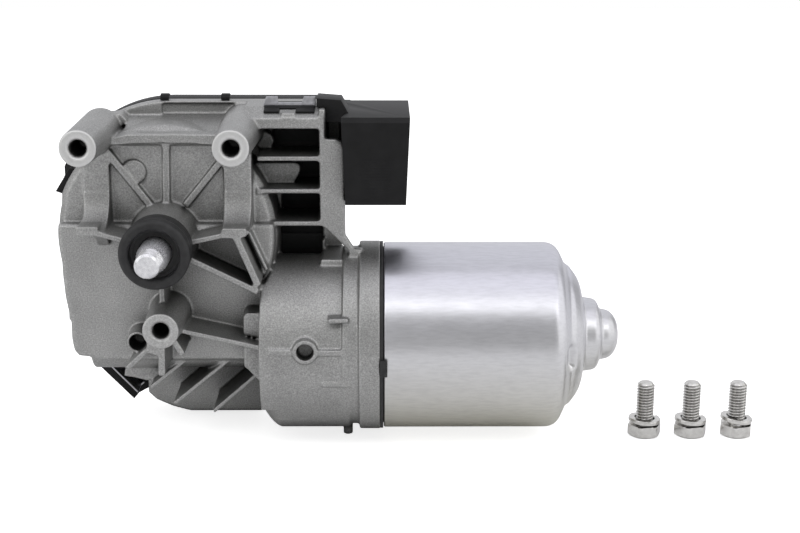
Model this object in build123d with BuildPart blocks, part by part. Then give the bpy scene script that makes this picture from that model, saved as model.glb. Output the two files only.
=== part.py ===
from build123d import *
from math import atan, cos, degrees, pi, radians, sin, sqrt, tan
import os

# Wiper motor. All sizes are in millimetres, with +Z up.
# The zero point is on the output shaft, where its threaded end meets the knurled taper.
# +Y runs back along the output shaft, and +X runs along the motor towards the can's end.
# "Depth" is the distance behind the zero point, along +Y.

# Fits
running_fit = 0.03
seat_gap = 0.02
brush_gap = 0.1

# Worm drive
gear_module = 1.0
wheel_teeth = 61
worm_pitch_r = 5.5
tooth_thinning = 0.12
flank_angle = 20.0
addendum = 0.9
dedendum = 1.25
wheel_face_width = 8.0
worm_turns = 6

# Motor axis
wheel_pitch_r = gear_module * wheel_teeth / 2
motor_depth = 40.0
motor_z = -(wheel_pitch_r + worm_pitch_r)
worm_lead = pi * gear_module

# Output shaft
thread_end_r = 4.0
thread_end_length = 7.0
thread_end_chamfer = 1.0
taper_small_r = 4.5
output_shaft_r = 5.0
taper_length = 7.5
knurl_count = 36
knurl_depth = 0.35
output_shaft_back = motor_depth + 7.0
circlip_groove_depth = 0.4

# Floor on which the motor and the loose bolts stand
standing_z = -69.5

# Gear case casting
boss_face = 6.0
floor_face = motor_depth - 7.5
floor_wall = 3.0
lower_face = floor_face - 3.5
flange_front = motor_depth + 10.0
flange_back = flange_front + 6.0
case_r = 36.0
case_wall = 3.0
case_edge_round = 2.0
flange_margin = 5.2
flange_r = case_r + flange_margin
flange_rim = 3.5
flange_left = -37.0
flange_right = 56.5
flange_step_x = 28.5
flange_step_z = -8.0
flange_bottom = -67.2
cut_top = (-26.0, -41.0)
cut_inner = (-11.0, -55.4)
cut_foot = (-11.0, -60.4)
foot_curve = [(-8.3, -63.0), (-2.6, -65.6), (3.2, flange_bottom)]
corner_top = (-32.0, -49.5)
corner_foot = (-17.3, -65.1)
corner_notch = (-15.4, -62.8)
board_floor = flange_front + 2.0

# Mounting bosses
boss_positions = [(-21.5, 33.3), (24.5, 33.3), (1.1, -24.3)]
boss_r = 5.7
boss_root_r = 7.0
boss_hole_r = 2.55
boss_hole_depths = [14.0, 15.0, 16.0]
boss_sink_r = 3.6
boss_sink_depth = 0.9

# Neck that carries the output shaft
neck_front = 10.0
neck_spigot_r = 8.3
neck_shoulder = 17.5
neck_r = 9.8
neck_root_r = 11.5
neck_bore_r = 7.0

# Motor adaptor and its flanges
adaptor_r = 29.0
adaptor_drop = 2.0
adaptor_left = 31.0
adaptor_bore_r = 24.0
adaptor_bore_left = 38.0
first_flange_left = 59.5
first_flange_r = 29.8
second_flange_left = 62.6
second_flange_r = 31.5
second_flange_right = 70.1
spigot_length = 3.4
spigot_wall = 2.4

# Worm tunnel
worm_bore_r = 7.2
tunnel_wall = 3.8
tunnel_left = -26.0
worm_bore_left = -23.0

# Armature
armature_shaft_r = 4.0
worm_journal_r = 3.0
worm_journal_left = -20.0
worm_blank_half = 12.0
armature_shaft_right = 146.0
core_left = 78.0
core_length = 34.0
core_r = 20.5
slot_count = 12
slot_centre_r = 15.0
slot_r = 3.0
slot_mouth = 1.8
coil_head_length = 7.0
coil_head_r = 18.0
coil_head_bore = 8.8
brush_plate_left = core_left - coil_head_length - 7.0
commutator_left = brush_plate_left - 9.5
commutator_length = 12.5
commutator_r = 10.5
commutator_bar = 2.4

# Brush gear
brush_plate_wall = 2.0
brush_plate_hole_r = 12.2
brush_width = 6.0
brush_breadth = 5.0
brush_length = 7.0
brush_left = commutator_left + 2.5
holder_wall = 0.6
holder_clearance = 0.1
spring_length = 5.0
spring_r = 1.9
spring_wire_r = 0.25
spring_turns = 4

# Motor can
can_left = 71.2
can_r = 31.0
can_wall = 1.6
can_straight_end = 124.5
can_shoulder = (130.6, 24.6)
can_dome_mid = (134.9, 19.6)
can_dome_end = 136.9
hub_r = 12.3
hub_end = 142.2
nose_r = 8.3
can_end = 149.3
magnet_wall = 7.9
magnet_left = 75.0
magnet_length = 41.0
magnet_angle = 132.0

# Rear cover, its gasket and the plug socket
gasket_wall = 0.8
cover_depth = 10.0
cover_wall = 2.0
connector_right = 79.0
connector_front = 26.0
connector_back = 66.0
connector_bottom = 10.0
connector_top = 39.4
connector_wall = 2.4
connector_base = 4.0
pin_count = 4
pin_length = 10.0
pin_thickness = 0.8
pin_width = 2.8

os.makedirs("parts", exist_ok=True)


def front(depth):
    """Plane across the output shaft, seen from the front: its x is X and its y is Z."""
    return Plane.XZ.offset(-depth)


def across_motor(x, up=0.0):
    """Plane across the armature shaft, centred on its axis: its x is Y and its y is Z."""
    return Plane(origin=(x, motor_depth, motor_z + up), x_dir=(0, 1, 0), z_dir=(1, 0, 0))


motor_side = Plane(origin=(0, motor_depth, motor_z), x_dir=(1, 0, 0), z_dir=(0, -1, 0))
motor_axis = Axis((0, motor_depth, motor_z), (1, 0, 0))
shaft_side = Plane(origin=(0, 0, 0), x_dir=(0, 1, 0), z_dir=(1, 0, 0))
shaft_axis = Axis((0, 0, 0), (0, 1, 0))
wheel_middle = motor_depth
armature_core_right = core_left + core_length
can_bore_r = can_r - can_wall


def turned(side, axis, outline, mode=Mode.ADD):
    """A turned shape: its outline, as distance along the axis and radius, spun round the axis."""
    with BuildSketch(side) as section:
        with BuildLine():
            Polyline(*outline, close=True)
        make_face()
    revolve(section.sketch, axis=axis, mode=mode)


def ring(side, axis, start, end, inner_r, outer_r, mode=Mode.ADD):
    """A plain ring or, with no inner radius, a disc."""
    turned(side, axis, [(start, inner_r), (end, inner_r), (end, outer_r), (start, outer_r)], mode)


def block(plane_depth, thickness, outline, mode=Mode.ADD):
    """A plate seen from the front as a closed outline, from its back depth towards the front."""
    with BuildSketch(front(plane_depth)) as section:
        with BuildLine():
            Polyline(*outline, close=True)
        make_face()
    extrude(section.sketch, amount=thickness, mode=mode)


def rib(start, end, width, front_depth, back_depth):
    """A straight rib, seen from the front as a line of its own width."""
    with BuildSketch(front(back_depth)) as section:
        with BuildLine() as line:
            Line(start, end)
        trace(line.line, line_width=width)
    extrude(section.sketch, amount=back_depth - front_depth)


def post(centre, front_depth, front_r, back_depth, back_r):
    """A drafted round post along the output shaft."""
    with BuildSketch(front(front_depth)) as near:
        with Locations(centre):
            Circle(front_r)
    with BuildSketch(front(back_depth)) as far:
        with Locations(centre):
            Circle(back_r)
    loft([near.sketch.face(), far.sketch.face()])


def rear_outline(depth, inset=0.0, filled_corner=False):
    """The outline of the rear flange at a depth, which the gasket, board and cover follow.

    The flange is cut back at its lower left corner, where the cover is filled out.
    """
    left_top = (flange_left, sqrt(flange_r**2 - flange_left**2))
    arc_angle = degrees(atan(-flange_left / left_top[1]))
    corner = [cut_top, cut_inner, cut_foot]
    if filled_corner:
        corner = [corner_top, corner_foot, corner_notch, cut_foot]
    with BuildSketch(front(depth)) as outline:
        with BuildLine():
            CenterArc((0, 0), flange_r, 90, arc_angle)
            Polyline(
                left_top, (flange_left, -34.0), *corner, *foot_curve, (flange_step_x, flange_bottom),
                (flange_step_x, flange_step_z), (flange_right, flange_step_z), (flange_right, flange_r),
                (0, flange_r),
            )
        make_face()
        if inset:
            offset(amount=-inset, kind=Kind.INTERSECTION, mode=Mode.REPLACE)
        Circle(case_r + 0.5 - inset)
    return outline.sketch


# GEAR HOUSING
# One aluminium die casting: the gear bowl with its ribbed front, the neck and three bosses,
# the ladder frame, the rear flange and the adaptor that carries the motor can.
post_left, post_right, post_low = boss_positions
tunnel_r = worm_bore_r + tunnel_wall
adaptor_face = motor_depth - adaptor_r
plate_top = 4.5
plate_bottom = -41.7
plate_edge = 1.0
plate_right = 33.0
plate_outline = [
    (-34.8, 0), (-34.3, -12.0), (-33.5, -20.0), (-31.8, -29.0), (-31.9, -34.2), (-31.3, -38.2),
    (-29.8, -40.2), (-25.4, -40.6), (-23.0, plate_bottom), (plate_right, plate_bottom), (plate_right, 0),
]
shelf_front = 17.0
shelf_wall = 1.6
fin_front = 31.0
fin_wall = 1.3
low_rib_root = lower_face + 1
floor_rib_root = floor_face + 1
floor_rib_front = floor_face - 2.2
flange_root = flange_front + 1
ladder_front = 32.0
ladder_left = 30.0
ladder_wall_left = 50.0
ladder_wall_right = 52.0
ladder_right = 58.2
ladder_top = flange_r
ladder_levels = [25.3, 14.7, 4.0]
ladder_roof = 34.9
guide_position = (-8.6, -32.4)
side_hole_position = (45.7, -32.6)
guide_hole_r = 2.7


def side_profile(x, width, outline, mode=Mode.ADD):
    """A plate seen from the can's end, as depth and height, from an x towards the can."""
    with BuildSketch(Plane(origin=(x, 0, 0), x_dir=(0, 1, 0), z_dir=(1, 0, 0))) as section:
        with BuildLine():
            Polyline(*outline, close=True)
        make_face()
    extrude(section.sketch, amount=width, mode=mode)


def blind_hole(centre, start_depth, radius, depth):
    """A round hole that runs back from a depth."""
    with BuildSketch(front(start_depth + depth)) as bottom:
        with Locations(centre):
            Circle(radius)
    extrude(bottom.sketch, amount=depth, mode=Mode.SUBTRACT)


# the adaptor's barrel, bevelled at its left end and cut away behind the flange
with BuildPart() as adaptor_barrel:
    with BuildSketch(across_motor(adaptor_left, -adaptor_drop)):
        Circle(adaptor_r)
    extrude(amount=first_flange_left - adaptor_left)
    bevel_back = motor_depth + adaptor_r + 1
    bevel_depth = 2 * adaptor_r + 2
    block(bevel_back, bevel_depth, [(30, -17), (30, 0), (42, 0)], Mode.SUBTRACT)
    block(bevel_back, bevel_depth, [(30, -61.5), (30, -70), (37, -70)], Mode.SUBTRACT)
    extrude(rear_outline(flange_back + 20, -0.5), amount=20, mode=Mode.SUBTRACT)

# the lower front plate, one step nearer the front, down to the worm tunnel
with BuildPart() as lower_plate:
    with BuildSketch(front(flange_front)):
        Circle(case_r - 0.6)
        with BuildLine():
            Polyline(*plate_outline, close=True)
        make_face()
        with Locations((0, plate_top + case_r)):
            Rectangle(3 * case_r, 2 * case_r, mode=Mode.SUBTRACT)
    extrude(amount=flange_front - lower_face)
    chamfer(lower_plate.edges().group_by(Axis.Y)[0], length=plate_edge)

with BuildPart() as gear_housing:
    # bowl round the worm wheel, with a bevelled front edge
    turned(shaft_side, shaft_axis, [
        (floor_face, 0), (floor_face, case_r - case_edge_round), (floor_face + case_edge_round, case_r),
        (flange_back, case_r), (flange_back, 0),
    ])
    add(lower_plate.part)
    add(adaptor_barrel.part)

    # worm tunnel
    ring(motor_side, motor_axis, tunnel_left, adaptor_left + 4, 0, tunnel_r)

    # rear flange, with a shallow recess in its top
    extrude(rear_outline(flange_back), amount=flange_back - flange_front)
    block(flange_root + 0.2, 5, [(-2.4, 36.7), (30.5, 36.7), (30.5, 40.4), (-2.4, 40.4)], Mode.SUBTRACT)

    # two round flanges at the adaptor's end
    ring(motor_side, motor_axis, first_flange_left - 2, second_flange_left + 1, 0, first_flange_r)
    ring(motor_side, motor_axis, second_flange_left, second_flange_right, 0, second_flange_r)

    # posts of the three mounting bosses, and the shoulder behind the left one
    post(post_left, boss_face, boss_r, flange_front - 5, boss_root_r - 0.4)
    post(post_right, boss_face, boss_r, flange_root, boss_root_r)
    post(post_low, boss_face, boss_r, low_rib_root, boss_root_r - 0.3)
    block(flange_root, 8, [
        (-26.4, 29.0), (-27.6, 33.5), (-26.4, 36.2), (-21.6, 37.8), (-15.0, 38.2), (-12.8, 35.9),
        (-15.2, 33.0), (-20.0, 29.0),
    ])

    # pillars under the upper bosses, which sweep forward into the shelves
    for left, right in ((-25.6, -17.0), (19.5, 28.5)):
        block(floor_rib_root, 3.5, [(left, 31), (left, 4), (right, 4), (right, 31)])
        with BuildSketch(Plane(origin=(left, 0, 0), x_dir=(0, 1, 0), z_dir=(1, 0, 0))):
            with BuildLine():
                ThreePointArc((29.5, 15.0), (26.0, 8.2), (18.0, 5.0))
                Polyline(
                    (18.0, 5.0), (18.0, 4.0), (floor_rib_root, 4.0), (floor_rib_root, 15.0), (29.5, 15.0),
                )
            make_face()
        extrude(amount=right - left)

    # arched rib between the posts, with a sloping ledge behind it
    block(floor_face + 3, 7, [
        (-18.0, 30.1), (-8.8, 30.8), (0, 31.1), (8.7, 30.9), (20.0, 30.1), (20.0, 33.7), (3.0, 34.0),
        (-10.4, 33.8), (-18.0, 31.9),
    ])
    side_profile(-13.2, 37.0, [(31, 30), (31, 31.5), (36, 33.2), (flange_root, 36.8), (flange_root, 30)])

    # shelves from the neck to the pillars' feet
    block(floor_rib_root, floor_rib_root - shelf_front, [
        (-26.2, 3.7), (-18.4, 3.4), (-18.9, 6.5), (-26.2, 6.5),
    ])
    rib((-20.0, 4.4), (-8.0, 1.2), shelf_wall, shelf_front, floor_rib_root)
    block(floor_rib_root, floor_rib_root - shelf_front, [
        (18.6, 2.7), (23.0, 2.7), (27.5, 3.3), (27.5, 6.0), (20.0, 6.0),
    ])
    rib((21.0, 3.8), (8.0, 1.0), shelf_wall, shelf_front, floor_rib_root)

    # radial ribs on the floor, and the flat ejector pad
    rib((1.4, 31.5), (0.7, 9.0), 2.4, floor_rib_front, floor_rib_root)
    rib((-18.6, 29.3), (-4.6, 10.6), 2.4, floor_rib_front, floor_rib_root)
    rib((19.0, 25.2), (6.8, 10.2), 2.2, floor_rib_front, floor_rib_root)
    post((-9.3, 21.2), floor_face - 1.3, 3.9, floor_rib_root, 4.0)

    # neck with its drafted shoulder and the spigot for the rubber ring
    post((0, 0), neck_shoulder, neck_r, floor_rib_root, neck_root_r)
    post((0, 0), neck_front, neck_spigot_r, neck_shoulder + 1, neck_spigot_r)

    # ribs of the triangular pocket beside the neck, and those below it
    rib((24.2, 3.2), (30.8, -12.8), 2.2, shelf_front, low_rib_root)
    rib((8.0, -3.4), (30.8, -14.8), 1.9, shelf_front, low_rib_root)
    rib((27.6, 2.6), (33.0, -9.8), 1.2, 25.0, low_rib_root)
    rib((0.3, -9.0), (0.3, -24.0), 1.6, shelf_front, low_rib_root)
    rib((3.0, -26.3), (31.0, -32.7), 1.5, 15.0, low_rib_root)

    # webs that spread out under the low boss, and the small guide boss beside them
    rib((0.2, -26.0), (-0.3, -41.8), 2.2, 14.0, low_rib_root)
    rib((-4.0, -32.6), (-11.4, -39.6), 1.6, 15.0, low_rib_root)
    rib((2.6, -28.0), (6.6, -34.7), 2.0, 14.0, low_rib_root)
    block(low_rib_root, 16, [(-4.3, -27.0), (-5.0, -34.0), (-0.5, -35.2), (0, -27.0)])
    post(guide_position, 20.0, 3.5, low_rib_root, 3.9)
    block(flange_root, 13, [
        (-7.5, -39.5), (-12.5, -43.4), (-16.4, -47.6), (-16.9, -50.2), (-13.9, -50.6), (-9.4, -51.8),
        (-2.5, -51.0), (-1.0, -39.5),
    ])

    # lug and block at the plate's right edge
    block(low_rib_root, 10, [(25.6, -23.6), (26.6, -22.6), (32, -22.6), (32, -31.3), (25.4, -29.8)])
    block(lower_face + 6, 16, [
        (25.5, -33.2), (32, -34.0), (32, -45), (30, -45), (26.8, -41.4), (25.6, -40.6),
    ])

    # diagonal fins from the plate's lower edge over the flange
    rib((7.5, -40.0), (-6.9, -51.9), fin_wall, fin_front, flange_root)
    rib((22.0, -39.8), (0.7, -57.6), fin_wall, fin_front, flange_root)
    rib((32.0, -44.2), (13.7, -60.3), fin_wall, fin_front, flange_root)

    # gusset under the left shelf
    side_profile(-21.5, 4.0, [(19, plate_top), (low_rib_root, plate_top), (low_rib_root, -3)])

    # ladder frame: front plate, roof, three shelves and right wall
    block(ladder_front + 3, 3, [
        (ladder_wall_left, 38.4), (ladder_wall_left, ladder_top), (ladder_wall_right, ladder_top),
        (ladder_wall_right, 31.6), (55.4, 31.6), (57.4, 30.6), (ladder_right, 28.6), (ladder_right, 0.0),
        (61.0, -4.5), (63.2, -4.5), (63.2, -10), (59.5, -10), (59.2, -5.0), (50.7, 3.5), (50.0, 3.5),
    ])
    for level in ladder_levels:
        block(flange_root, flange_root - ladder_front, [
            (ladder_left, level - shelf_wall / 2), (51.0, level - shelf_wall / 2),
            (51.0, level + shelf_wall / 2), (ladder_left, level + shelf_wall / 2),
        ])
    side_profile(26.0, ladder_wall_right - 26.0, [
        (ladder_front, ladder_roof), (ladder_front, 38.4), (39.5, ladder_top), (flange_back, ladder_top),
        (flange_back, 37.5), (40.0, 37.0), (36.0, ladder_roof),
    ])
    block(flange_root, flange_root - ladder_front, [
        (ladder_wall_left, ladder_top), (ladder_wall_right, ladder_top), (ladder_wall_right, 2.2),
        (ladder_wall_left, 3.5),
    ])
    block(flange_root, flange_root - ladder_front, [
        (ladder_wall_left, -8), (59.6, -8), (59.6, -13), (ladder_wall_left, -13),
    ])
    block(flange_root, 6, [(28, -4.5), (51, -4.5), (51, -14), (32, -14), (28, -8)])

    # half-round tab in the top bay, round-nosed lug in the second, catch for the top clip
    post((31.4, 28.6), 46.0, 3.1, flange_root, 3.2)
    block(flange_root, flange_root - 41.0, [
        (29.0, 15.5), (41.2, 15.5), (42.8, 18.0), (43.6, 20.2), (43.2, 21.8), (42.0, 22.6), (29.0, 22.6),
    ])
    block(38.0, 5.4, [(38.2, 36.0), (42.4, 36.0), (42.4, 39.9), (38.2, 39.9)])

    # adaptor details: boss with a hole, side ribs, foot nub
    post(side_hole_position, adaptor_face - 1.2, 3.95, adaptor_face + 2, 4.2)
    rib((34.0, -32.8), (42.5, -33.0), 1.8, adaptor_face - 0.3, adaptor_face + 3)
    rib((49.0, -33.0), (58.6, -33.0), 1.8, adaptor_face - 0.6, adaptor_face + 3)
    rib((53.0, -22.6), (59.6, -22.6), 1.4, adaptor_face + 0.2, adaptor_face + 6)
    rib((51.0, -43.8), (59.6, -43.8), 1.4, adaptor_face - 0.2, adaptor_face + 6)
    with BuildSketch(Plane.XY.offset(standing_z)):
        with Locations((58.6, motor_depth - 5.0)):
            Circle(1.6)
    extrude(amount=5)

    # hollow inside: wheel room, board room, worm bore, adaptor bore, neck bore
    wheel_room_front = floor_face + floor_wall
    rooms_back = flange_back + 1
    ring(shaft_side, shaft_axis, wheel_room_front, rooms_back, 0, case_r - case_wall, Mode.SUBTRACT)
    extrude(rear_outline(rooms_back, flange_rim), amount=rooms_back - board_floor, mode=Mode.SUBTRACT)
    ring(motor_side, motor_axis, worm_bore_left, adaptor_bore_left + 1, 0, worm_bore_r, Mode.SUBTRACT)
    ring(motor_side, motor_axis, adaptor_bore_left, second_flange_right + 1, 0, adaptor_bore_r,
         Mode.SUBTRACT)
    ring(shaft_side, shaft_axis, neck_front - 1, floor_face + floor_wall + 1, 0, neck_bore_r, Mode.SUBTRACT)

    # windows through the flange behind the ladder's bays
    window_right = ladder_wall_left - 0.1
    window_levels = [ladder_roof] + ladder_levels + [-4.5]
    window_lefts = [34.0, 34.5, 36.6, 37.6]
    for top, bottom, left in zip(window_levels[:-1], window_levels[1:], window_lefts):
        block(board_floor + 0.5, board_floor + 1.5 - flange_front, [
            (left, bottom + shelf_wall / 2), (window_right, bottom + shelf_wall / 2),
            (window_right, top - shelf_wall / 2), (left, top - shelf_wall / 2),
        ], Mode.SUBTRACT)

    # spigot that centres the can
    ring(motor_side, motor_axis, second_flange_right - 1, second_flange_right + spigot_length,
         can_bore_r - seat_gap - spigot_wall, can_bore_r - seat_gap)

    # threaded holes with their sinks, the guide hole and the adaptor's hole
    for centre, hole_depth in zip(boss_positions, boss_hole_depths):
        blind_hole(centre, boss_face, boss_hole_r, hole_depth)
        with BuildSketch(front(boss_face + boss_sink_depth)) as sink_end:
            with Locations(centre):
                Circle(boss_hole_r)
        with BuildSketch(front(boss_face)) as sink_mouth:
            with Locations(centre):
                Circle(boss_sink_r)
        loft([sink_mouth.sketch.face(), sink_end.sketch.face()], mode=Mode.SUBTRACT)
    blind_hole(guide_position, 19.0, guide_hole_r, 9.0)
    blind_hole(side_hole_position, adaptor_face - 3, guide_hole_r, 6.5)
gear_housing.part.label = "gear_housing"
export_step(gear_housing.part, "parts/gear_housing.step")


# OUTPUT SHAFT
# Hardened steel shaft: threaded end, knurled taper for the crank arm, plain journal and
# a groove for its retaining ring.
circlip_front = 13.8
circlip_wall = 1.0
groove_r = output_shaft_r - circlip_groove_depth
groove_back = circlip_front + circlip_wall + 0.1


def knurl_points(outer_r):
    """A closed saw-tooth outline for the knurled taper."""
    points = []
    for tooth in range(knurl_count):
        crest = 2 * pi * tooth / knurl_count
        root = crest + pi / knurl_count
        points.append((outer_r * cos(crest), outer_r * sin(crest)))
        points.append(((outer_r - knurl_depth) * cos(root), (outer_r - knurl_depth) * sin(root)))
    return points


with BuildPart() as output_shaft:
    turned(shaft_side, shaft_axis, [
        (-thread_end_length, 0), (-thread_end_length, thread_end_r - thread_end_chamfer),
        (thread_end_chamfer - thread_end_length, thread_end_r), (0.5, thread_end_r), (0.5, 0),
    ])
    with BuildSketch(front(0)):
        with BuildLine():
            Polyline(*knurl_points(taper_small_r), close=True)
        make_face()
    with BuildSketch(front(taper_length)):
        with BuildLine():
            Polyline(*knurl_points(output_shaft_r), close=True)
        make_face()
    loft(ruled=True)
    turned(shaft_side, shaft_axis, [
        (taper_length - 0.5, 0), (taper_length - 0.5, groove_r), (taper_length + 0.5, output_shaft_r),
        (circlip_front - 0.1, output_shaft_r), (circlip_front - 0.1, groove_r),
        (groove_back, groove_r), (groove_back, output_shaft_r),
        (output_shaft_back - 0.8, output_shaft_r), (output_shaft_back, output_shaft_r - 0.8),
        (output_shaft_back, 0),
    ])
output_shaft.part.label = "output_shaft"
export_step(output_shaft.part, "parts/output_shaft.step")

# OUTPUT SHAFT BEARINGS, SEAL AND RETAINERS
# Two sintered bushes pressed into the neck, a thrust washer and retaining ring in front of
# them, and a lip seal at the mouth.
front_bush_front = 16.2
front_bush_back = 25.0
rear_bush_front = 26.5
rear_bush_back = floor_face + floor_wall
seal_front = neck_front - 0.3
seal_back = circlip_front - 0.2
bush_bore_r = output_shaft_r + running_fit
bush_seat_r = neck_bore_r - seat_gap

with BuildPart() as front_bush:
    ring(shaft_side, shaft_axis, front_bush_front, front_bush_back, bush_bore_r, bush_seat_r)
front_bush.part.label = "front_bush"
export_step(front_bush.part, "parts/front_bush.step")

with BuildPart() as rear_bush:
    ring(shaft_side, shaft_axis, rear_bush_front, rear_bush_back, bush_bore_r, bush_seat_r)
rear_bush.part.label = "rear_bush"
export_step(rear_bush.part, "parts/rear_bush.step")

with BuildPart() as thrust_washer:
    ring(shaft_side, shaft_axis, groove_back, front_bush_front, bush_bore_r + 0.05, neck_bore_r - 0.3)
thrust_washer.part.label = "thrust_washer"
export_step(thrust_washer.part, "parts/thrust_washer.step")

with BuildPart() as circlip:
    ring(shaft_side, shaft_axis, circlip_front, circlip_front + circlip_wall, groove_r + 0.02, 6.3)
    with BuildSketch(front(circlip_front + circlip_wall + 1)):
        with Locations((0, -5.5)):
            Rectangle(3.0, 4.0)
    extrude(amount=circlip_wall + 2, mode=Mode.SUBTRACT)
circlip.part.label = "circlip"
export_step(circlip.part, "parts/circlip.step")

with BuildPart() as shaft_seal:
    turned(shaft_side, shaft_axis, [
        (seal_front, 5.3), (seal_front + 1.2, 5.08), (seal_front + 1.8, 5.5), (seal_back, 5.8),
        (seal_back, bush_seat_r), (seal_front, bush_seat_r),
    ])
shaft_seal.part.label = "shaft_seal"
export_step(shaft_seal.part, "parts/shaft_seal.step")

# BOOT RING
# Moulded rubber ring pushed over the neck's spigot, with a stepped rim and an open mouth.
boot_r = 11.15
boot_mouth_r = 7.8
boot_back = neck_shoulder - 0.6
boot_seat_r = neck_spigot_r + seat_gap
boot_groove_front = 10.4
boot_groove_back = 11.8
with BuildPart() as boot_ring:
    turned(shaft_side, shaft_axis, [
        (boss_face, boot_mouth_r + 0.6), (boss_face + 0.6, boot_mouth_r),
        (neck_front - 0.6, boot_mouth_r - 0.1),
        (neck_front - 0.6, boot_seat_r), (boot_back, boot_seat_r), (boot_back, boot_r - 0.3),
        (boot_groove_back, boot_r - 0.3), (boot_groove_back, boot_r - 1.0),
        (boot_groove_front, boot_r - 1.0), (boot_groove_front, boot_r), (boss_face + 1.0, boot_r),
        (boss_face, boot_r - 1.0),
    ])
boot_ring.part.label = "boot_ring"
export_step(boot_ring.part, "parts/boot_ring.step")

# WORM WHEEL
# Moulded wheel with helical teeth that follow the worm's lead, on a steel hub pressed on
# the output shaft. The wheel's rim, web and hub boss are turned; the teeth are a ruled loft.
wheel_front = wheel_middle - wheel_face_width / 2
wheel_back = wheel_middle + wheel_face_width / 2
wheel_tip_r = wheel_pitch_r + addendum * gear_module
wheel_root_r = wheel_pitch_r - dedendum * gear_module
hub_outer_r = 9.0
hub_front = rear_bush_back + 0.3
wheel_bore_r = hub_outer_r + seat_gap
half_tooth = pi * gear_module / 4 - tooth_thinning
half_twist = degrees(wheel_face_width / 2 * (gear_module / 2 / worm_pitch_r) / wheel_pitch_r)


def wheel_points(turn):
    """The wheel's outline with a tooth space at the bottom, turned by an angle in degrees."""
    points = []
    for tooth in range(wheel_teeth):
        middle = radians(-90 + turn + (tooth + 0.5) * 360 / wheel_teeth)
        for side, radius in ((-1, wheel_root_r), (-1, wheel_tip_r), (1, wheel_tip_r), (1, wheel_root_r)):
            half = half_tooth - (radius - wheel_pitch_r) * tan(radians(flank_angle))
            angle = middle + side * half / radius
            points.append((radius * cos(angle), radius * sin(angle)))
    return points


with BuildPart() as worm_wheel:
    with BuildSketch(front(wheel_front)):
        with BuildLine():
            Polyline(*wheel_points(half_twist), close=True)
        make_face()
    with BuildSketch(front(wheel_back)):
        with BuildLine():
            Polyline(*wheel_points(-half_twist), close=True)
        make_face()
    loft(ruled=True)
    ring(shaft_side, shaft_axis, wheel_front - 1, wheel_back + 1, 0, wheel_bore_r, Mode.SUBTRACT)
    ring(shaft_side, shaft_axis, wheel_middle + 1.5, wheel_back + 1, hub_outer_r + 3.5, wheel_root_r - 3.5,
         Mode.SUBTRACT)
    ring(shaft_side, shaft_axis, wheel_front - 1, wheel_middle - 1.5, hub_outer_r + 3.5, wheel_root_r - 3.5,
         Mode.SUBTRACT)
worm_wheel.part.label = "worm_wheel"
export_step(worm_wheel.part, "parts/worm_wheel.step")

with BuildPart() as wheel_hub:
    turned(shaft_side, shaft_axis, [
        (hub_front, output_shaft_r + seat_gap), (output_shaft_back - 1.2, output_shaft_r + seat_gap),
        (output_shaft_back - 1.2, hub_outer_r - 0.6), (output_shaft_back - 1.8, hub_outer_r),
        (hub_front, hub_outer_r),
    ])
wheel_hub.part.label = "wheel_hub"
export_step(wheel_hub.part, "parts/wheel_hub.step")

# POSITION MAGNET
# Small round magnet on the shaft's inner end, read by the sensor on the board.
with BuildPart() as position_magnet:
    ring(shaft_side, shaft_axis, output_shaft_back, output_shaft_back + 2.2, 0, 4.0)
position_magnet.part.label = "position_magnet"
export_step(position_magnet.part, "parts/position_magnet.step")

# ARMATURE SHAFT
# One steel shaft with the worm rolled on it, a reduced journal at the worm's end and a
# plain end in the can.
worm_tip_r = worm_pitch_r + addendum * gear_module
worm_root_r = worm_pitch_r - dedendum * gear_module
worm_length = worm_turns * worm_lead
thread_sink = 0.3


def thread_half(radius):
    """Half the worm thread's width along the shaft at a radius."""
    return half_tooth - (radius - worm_pitch_r) * tan(radians(flank_angle))


with BuildPart() as armature_shaft:
    turned(motor_side, motor_axis, [
        (worm_journal_left, 0), (worm_journal_left, worm_journal_r - 0.4),
        (worm_journal_left + 0.4, worm_journal_r), (-worm_blank_half, worm_journal_r),
        (-worm_blank_half, worm_root_r), (worm_blank_half, worm_root_r),
        (worm_blank_half + 1, armature_shaft_r), (armature_shaft_right - 0.6, armature_shaft_r),
        (armature_shaft_right, armature_shaft_r - 0.6), (armature_shaft_right, 0),
    ])
    worm_centre = Vector(-worm_length / 2, motor_depth, motor_z)
    worm_path = Helix(pitch=worm_lead, height=worm_length, radius=worm_root_r,
                      center=worm_centre, direction=(1, 0, 0), mode=Mode.PRIVATE)
    thread_start = worm_path @ 0
    with BuildSketch(Plane(origin=thread_start, x_dir=thread_start - worm_centre, z_dir=worm_path % 0)):
        with BuildLine():
            Polyline(
                (-thread_sink, -thread_half(worm_root_r - thread_sink)),
                (worm_tip_r - worm_root_r, -thread_half(worm_tip_r)),
                (worm_tip_r - worm_root_r, thread_half(worm_tip_r)),
                (-thread_sink, thread_half(worm_root_r - thread_sink)),
                close=True,
            )
        make_face()
    sweep(path=worm_path, is_frenet=True)
armature_shaft.part.label = "armature_shaft"
export_step(armature_shaft.part, "parts/armature_shaft.step")

# ARMATURE BEARINGS AND THRUST BALL
journal_bush_left = worm_journal_left + 0.5
journal_bush_right = -worm_blank_half - 0.6
with BuildPart() as worm_end_bush:
    ring(motor_side, motor_axis, journal_bush_left, journal_bush_right, worm_journal_r + running_fit,
         worm_bore_r - seat_gap)
worm_end_bush.part.label = "worm_end_bush"
export_step(worm_end_bush.part, "parts/worm_end_bush.step")

thrust_ball_r = (worm_journal_left - worm_bore_left) / 2 - 0.02
with BuildPart() as thrust_ball:
    with Locations(((worm_journal_left + worm_bore_left) / 2, motor_depth, motor_z)):
        Sphere(thrust_ball_r)
thrust_ball.part.label = "thrust_ball"
export_step(thrust_ball.part, "parts/thrust_ball.step")

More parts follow.
